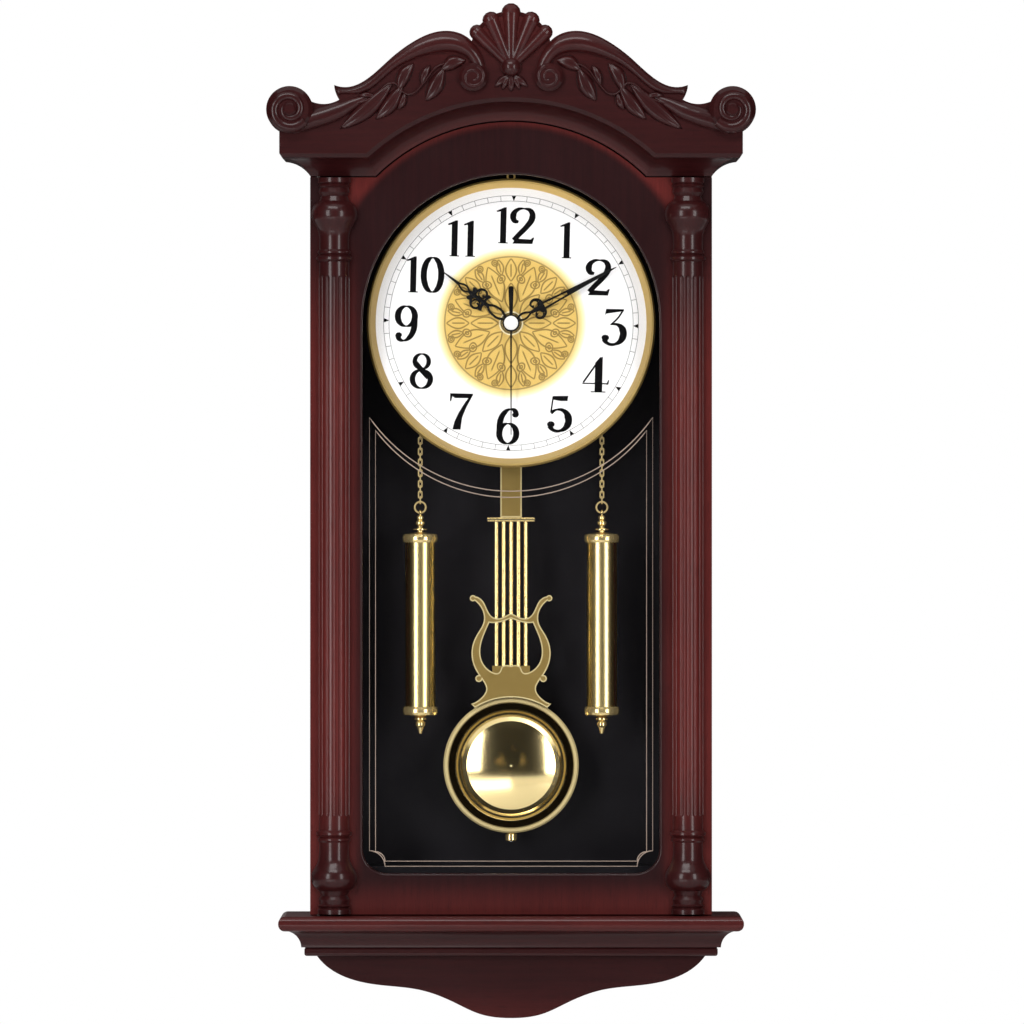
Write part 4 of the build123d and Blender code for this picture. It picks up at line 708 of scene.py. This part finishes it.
def painted_rim_highlight(name, node, depth):
    """A band just inside the outline of a node's front face, in bright brass as a painted highlight."""
    mesh = bmesh.new()
    mesh.from_mesh(nodes[node].data)
    bmesh.ops.remove_doubles(mesh, verts=mesh.verts, dist=SAME_POINT)
    level = -depth / PER_METRE
    behind = [face for face in mesh.faces
              if any(abs(vert.co.y - level) > SAME_LEVEL for vert in face.verts)]
    bmesh.ops.delete(mesh, geom=behind, context="FACES")
    field = mesh.faces[:]
    bmesh.ops.inset_region(mesh, faces=field, thickness=RIM_WIDTH, use_boundary=True,
                           use_even_offset=True)
    bmesh.ops.delete(mesh, geom=field, context="FACES")
    bmesh.ops.translate(mesh, verts=mesh.verts, vec=(0.0, -RIM_LIFT, 0.0))
    piece(name, mesh, RIM_HIGHLIGHT_BRASS, "pendulum", smooth=False)


painted_rim_highlight("lyre_rim_highlight", "lyre_plate", LYRE_FACE)
painted_rim_highlight("strip_rim_highlight", "pendulum_strip", STRIP_FACE)


# Carving on the crown
LEAF_ROWS = 14
LEAF_COLUMNS = 8
LEAF_EDGE = 0.02
LEAF_WALL_M = 0.0008
LEAF_MERGE_M = 1e-5
SPRAY_HEIGHT = 4.4
CLUSTER_HEIGHT = 3.6


def leaf(mesh, foot, tip, width, bend, height):
    """A pointed leaf with a sunk midrib, shaped from a grid on the crown's face."""
    blade = bmesh.new()
    foot = Vector(foot)
    along = Vector(tip) - foot
    side = Vector((-along.y, along.x)).normalized()
    bmesh.ops.create_grid(blade, x_segments=LEAF_COLUMNS, y_segments=LEAF_ROWS, size=1.0)
    for vert in blade.verts:
        across = vert.co.x
        run = (vert.co.y + 1.0) / 2
        half = width / 2 * math.sin(math.pi * min(1.0, run * 0.96 + 0.04)) ** 0.8
        arch = max(0.0, math.sin(math.pi * (0.12 + 0.88 * run))) ** 0.5
        midrib = 0.35 * (1 - abs(across)) ** 3
        up = height * ((1 - abs(across) ** 2.4) * arch - midrib)
        point = foot + along * run + side * (bend * math.sin(math.pi * run) + half * across)
        vert.co = place(point.x, CROWN_FACE + max(up, LEAF_EDGE), point.y)
    bmesh.ops.remove_doubles(blade, verts=blade.verts, dist=LEAF_MERGE_M)
    face_front(blade)
    bmesh.ops.solidify(blade, geom=blade.faces[:], thickness=LEAF_WALL_M)
    add(mesh, blade)


def spiral(centre, sign, start, sweep, reach, inner, count):
    """Points that wind inwards, from start and over sweep in degrees."""
    points = []
    for index in range(count):
        run = index / (count - 1)
        turn = math.radians(start - sweep * run)
        far = reach + (inner - reach) * run
        points.append((sign * (centre.x - far * math.cos(turn)), centre.y + far * math.sin(turn)))
    return points


# Leaves have a foot, a tip, a width and a bend, and the band's points a half width
SPRAY = [((88.5, 690.0), (126.5, 657.0), 13.5, -2.0), ((80.5, 688.5), (100.0, 664.0), 12.0, -1.5),
         ((78.5, 683.5), (83.5, 671.0), 6.5, -1.0), ((50.0, 701.0), (63.0, 677.5), 12.5, -1.0),
         ((83.0, 685.5), (71.5, 706.0), 11.0, -2.0), ((51.0, 701.0), (33.0, 708.0), 11.0, -2.0),
         ((66.0, 690.0), (59.5, 704.5), 7.0, -1.0), ((100.0, 681.0), (113.0, 681.5), 5.0, 1.0)]
STEM = [(122.0, 675.5), (112.0, 676.5), (102.9, 680.0), (86.5, 691.0), (80.5, 685.0), (74.6, 682.5),
        (64.5, 691.0), (54.6, 703.0), (40.0, 706.5)]
BAND = [(161.6, 657.0, 4.0), (151.9, 662.0, 6.4), (139.9, 666.0, 6.9), (127.9, 670.4, 6.4),
        (115.8, 676.4, 4.3), (105.0, 681.2, 1.5)]
CLUSTER = [((0.0, 698.0), (0.0, 684.5), 6.5),
           ((-2.0, 697.0), (-12.5, 688.0), 6.0), ((2.0, 697.0), (12.5, 688.0), 6.0),
           ((-2.0, 696.5), (-6.5, 686.0), 5.0), ((2.0, 696.5), (6.5, 686.0), 5.0)]
VOLUTE_POINTS = 29
SCROLL_POINTS = 21
for name, sign in (("left", -1), ("right", 1)):
    carving = bmesh.new()
    stem = [(sign * x, z) for x, z in STEM]
    draw(carving, stem, thinning(1.2, 0.9, len(stem)), CROWN_FACE, 2.6, sides=3, sunk=True)
    band = [(sign * x, z) for x, z, half in BAND]
    draw(carving, band, [half for x, z, half in BAND], CROWN_FACE, 0.75, sides=4, sunk=True)
    volute = spiral(VOLUTE, sign, -38.0, 620.0, 14.0, 2.6, VOLUTE_POINTS)
    draw(carving, volute, thinning(4.1, 2.0, VOLUTE_POINTS), VOLUTE_FACE - 1.0, 0.8, sides=4, sunk=True)
    scroll = spiral(INNER_SCROLL, sign, 70.0, 520.0, 8.4, 2.6, SCROLL_POINTS)
    draw(carving, scroll, thinning(1.7, 1.1, SCROLL_POINTS), INNER_SCROLL_FACE - 0.6, 0.9, sides=3,
         sunk=True)
    face_front(carving)
    for foot, tip, width, bend in SPRAY:
        leaf(carving, (sign * foot[0], foot[1]), (sign * tip[0], tip[1]), width, bend * sign, SPRAY_HEIGHT)
    piece("carving_" + name, carving, WOOD_CROWN, "case")

cluster = bmesh.new()
for foot, tip, width in CLUSTER:
    leaf(cluster, foot, tip, width, 0.0, CLUSTER_HEIGHT)
piece("leaf_cluster", cluster, WOOD_CROWN, "case")

# Stage, light and camera, in metres
FLOOR_HALF = 2.0
FLOOR_AT = (0, -0.2, -1.1)
AMBIENT = 0.2
CAMERA_AT = (0.0007, -8.1114, -0.2254)
CAMERA_LENS = 381.3

floor = bpy.data.objects.new("floor", bpy.data.meshes.new("floor"))
ground = bmesh.new()
bmesh.ops.create_grid(ground, x_segments=1, y_segments=1, size=FLOOR_HALF)
ground.to_mesh(floor.data)
ground.free()
floor.location = FLOOR_AT
floor.data.materials.append(plain("floor_white", (0.85, 0.85, 0.85), 0.8, 0.02))
scene.collection.objects.link(floor)

CLOTH = plain("flag_black", (0.02, 0.02, 0.02), 0.9, 0.05)


def flag(name, size, at, turn):
    """A black card that only reflections see, to keep the lacquer and the brass from washing out."""
    thing = bpy.data.objects.new(name, bpy.data.meshes.new(name))
    cloth = bmesh.new()
    bmesh.ops.create_grid(cloth, x_segments=1, y_segments=1, size=0.5)
    bmesh.ops.scale(cloth, vec=(size[0], size[1], 1.0), verts=cloth.verts)
    cloth.to_mesh(thing.data)
    cloth.free()
    thing.location = at
    thing.rotation_euler = (math.pi / 2, 0, turn)
    thing.data.materials.append(CLOTH)
    thing.visible_camera = False
    thing.visible_diffuse = False
    thing.visible_transmission = False
    thing.visible_shadow = False
    scene.collection.objects.link(thing)


flag("front_flag", (4.4, 4.4), (0, -3.2, 1.2), 0.0)
flag("left_flag", (5.0, 4.4), (-2.6, -0.6, 1.2), math.pi / 2)
flag("right_flag", (5.0, 4.4), (2.6, -0.6, 1.2), math.pi / 2)
flag("back_flag", (5.2, 4.4), (0, 1.6, 1.2), 0.0)

# The world is white where it is seen or mirrored, and dim as a light
world = bpy.data.worlds.new("studio")
scene.world = world
world.use_nodes = True
sky = world.node_tree
sky.nodes.clear()
path = sky.nodes.new("ShaderNodeLightPath")
seen = sky.nodes.new("ShaderNodeBackground")
lit = sky.nodes.new("ShaderNodeBackground")
both = sky.nodes.new("ShaderNodeMixShader")
end = sky.nodes.new("ShaderNodeOutputWorld")
seen.inputs["Color"].default_value = (1, 1, 1, 1)
lit.inputs["Color"].default_value = (1, 1, 1, 1)
lit.inputs["Strength"].default_value = AMBIENT
showing = Value(sky, path.outputs["Is Camera Ray"])
for ray in ("Is Glossy Ray", "Is Transmission Ray"):
    showing = showing.larger(Value(sky, path.outputs[ray]))
sky.links.new(showing.socket, both.inputs[0])
sky.links.new(lit.outputs[0], both.inputs[1])
sky.links.new(seen.outputs[0], both.inputs[2])
sky.links.new(both.outputs[0], end.inputs[0])


def area(name, at, target, size, energy):
    """A soft lamp that stays out of the picture."""
    lamp = bpy.data.lights.new(name, "AREA")
    lamp.shape = "RECTANGLE"
    lamp.size, lamp.size_y = size
    lamp.energy = energy
    thing = bpy.data.objects.new(name, lamp)
    thing.location = at
    thing.rotation_euler = (Vector(target) - Vector(at)).to_track_quat("-Z", "Y").to_euler()
    thing.visible_camera = False
    scene.collection.objects.link(thing)


area("key_left", (-1.6, -2.5, 0.2), (0, 0, -0.2), (0.8, 1.8), 43)
area("key_right", (1.7, -2.4, 0.1), (0, 0, -0.2), (0.7, 1.8), 38)
area("top_soft", (-0.3, -1.6, 1.5), (0, 0, -0.1), (1.6, 0.6), 27)
area("low_left", (-0.6, -1.7, -1.08), (0, 0, -0.4), (1.3, 0.5), 5)
area("back_fill", (-1.2, 2.4, 0.8), (0, 0, -0.2), (1.6, 1.6), 30)

camera = bpy.data.objects.new("camera", bpy.data.cameras.new("camera"))
camera.location = CAMERA_AT
camera.rotation_euler = (math.pi / 2, 0, 0)
camera.data.lens = CAMERA_LENS
camera.data.sensor_width = 36.0
camera.data.clip_end = 50
scene.collection.objects.link(camera)
scene.camera = camera
scene.view_settings.view_transform = "Standard"
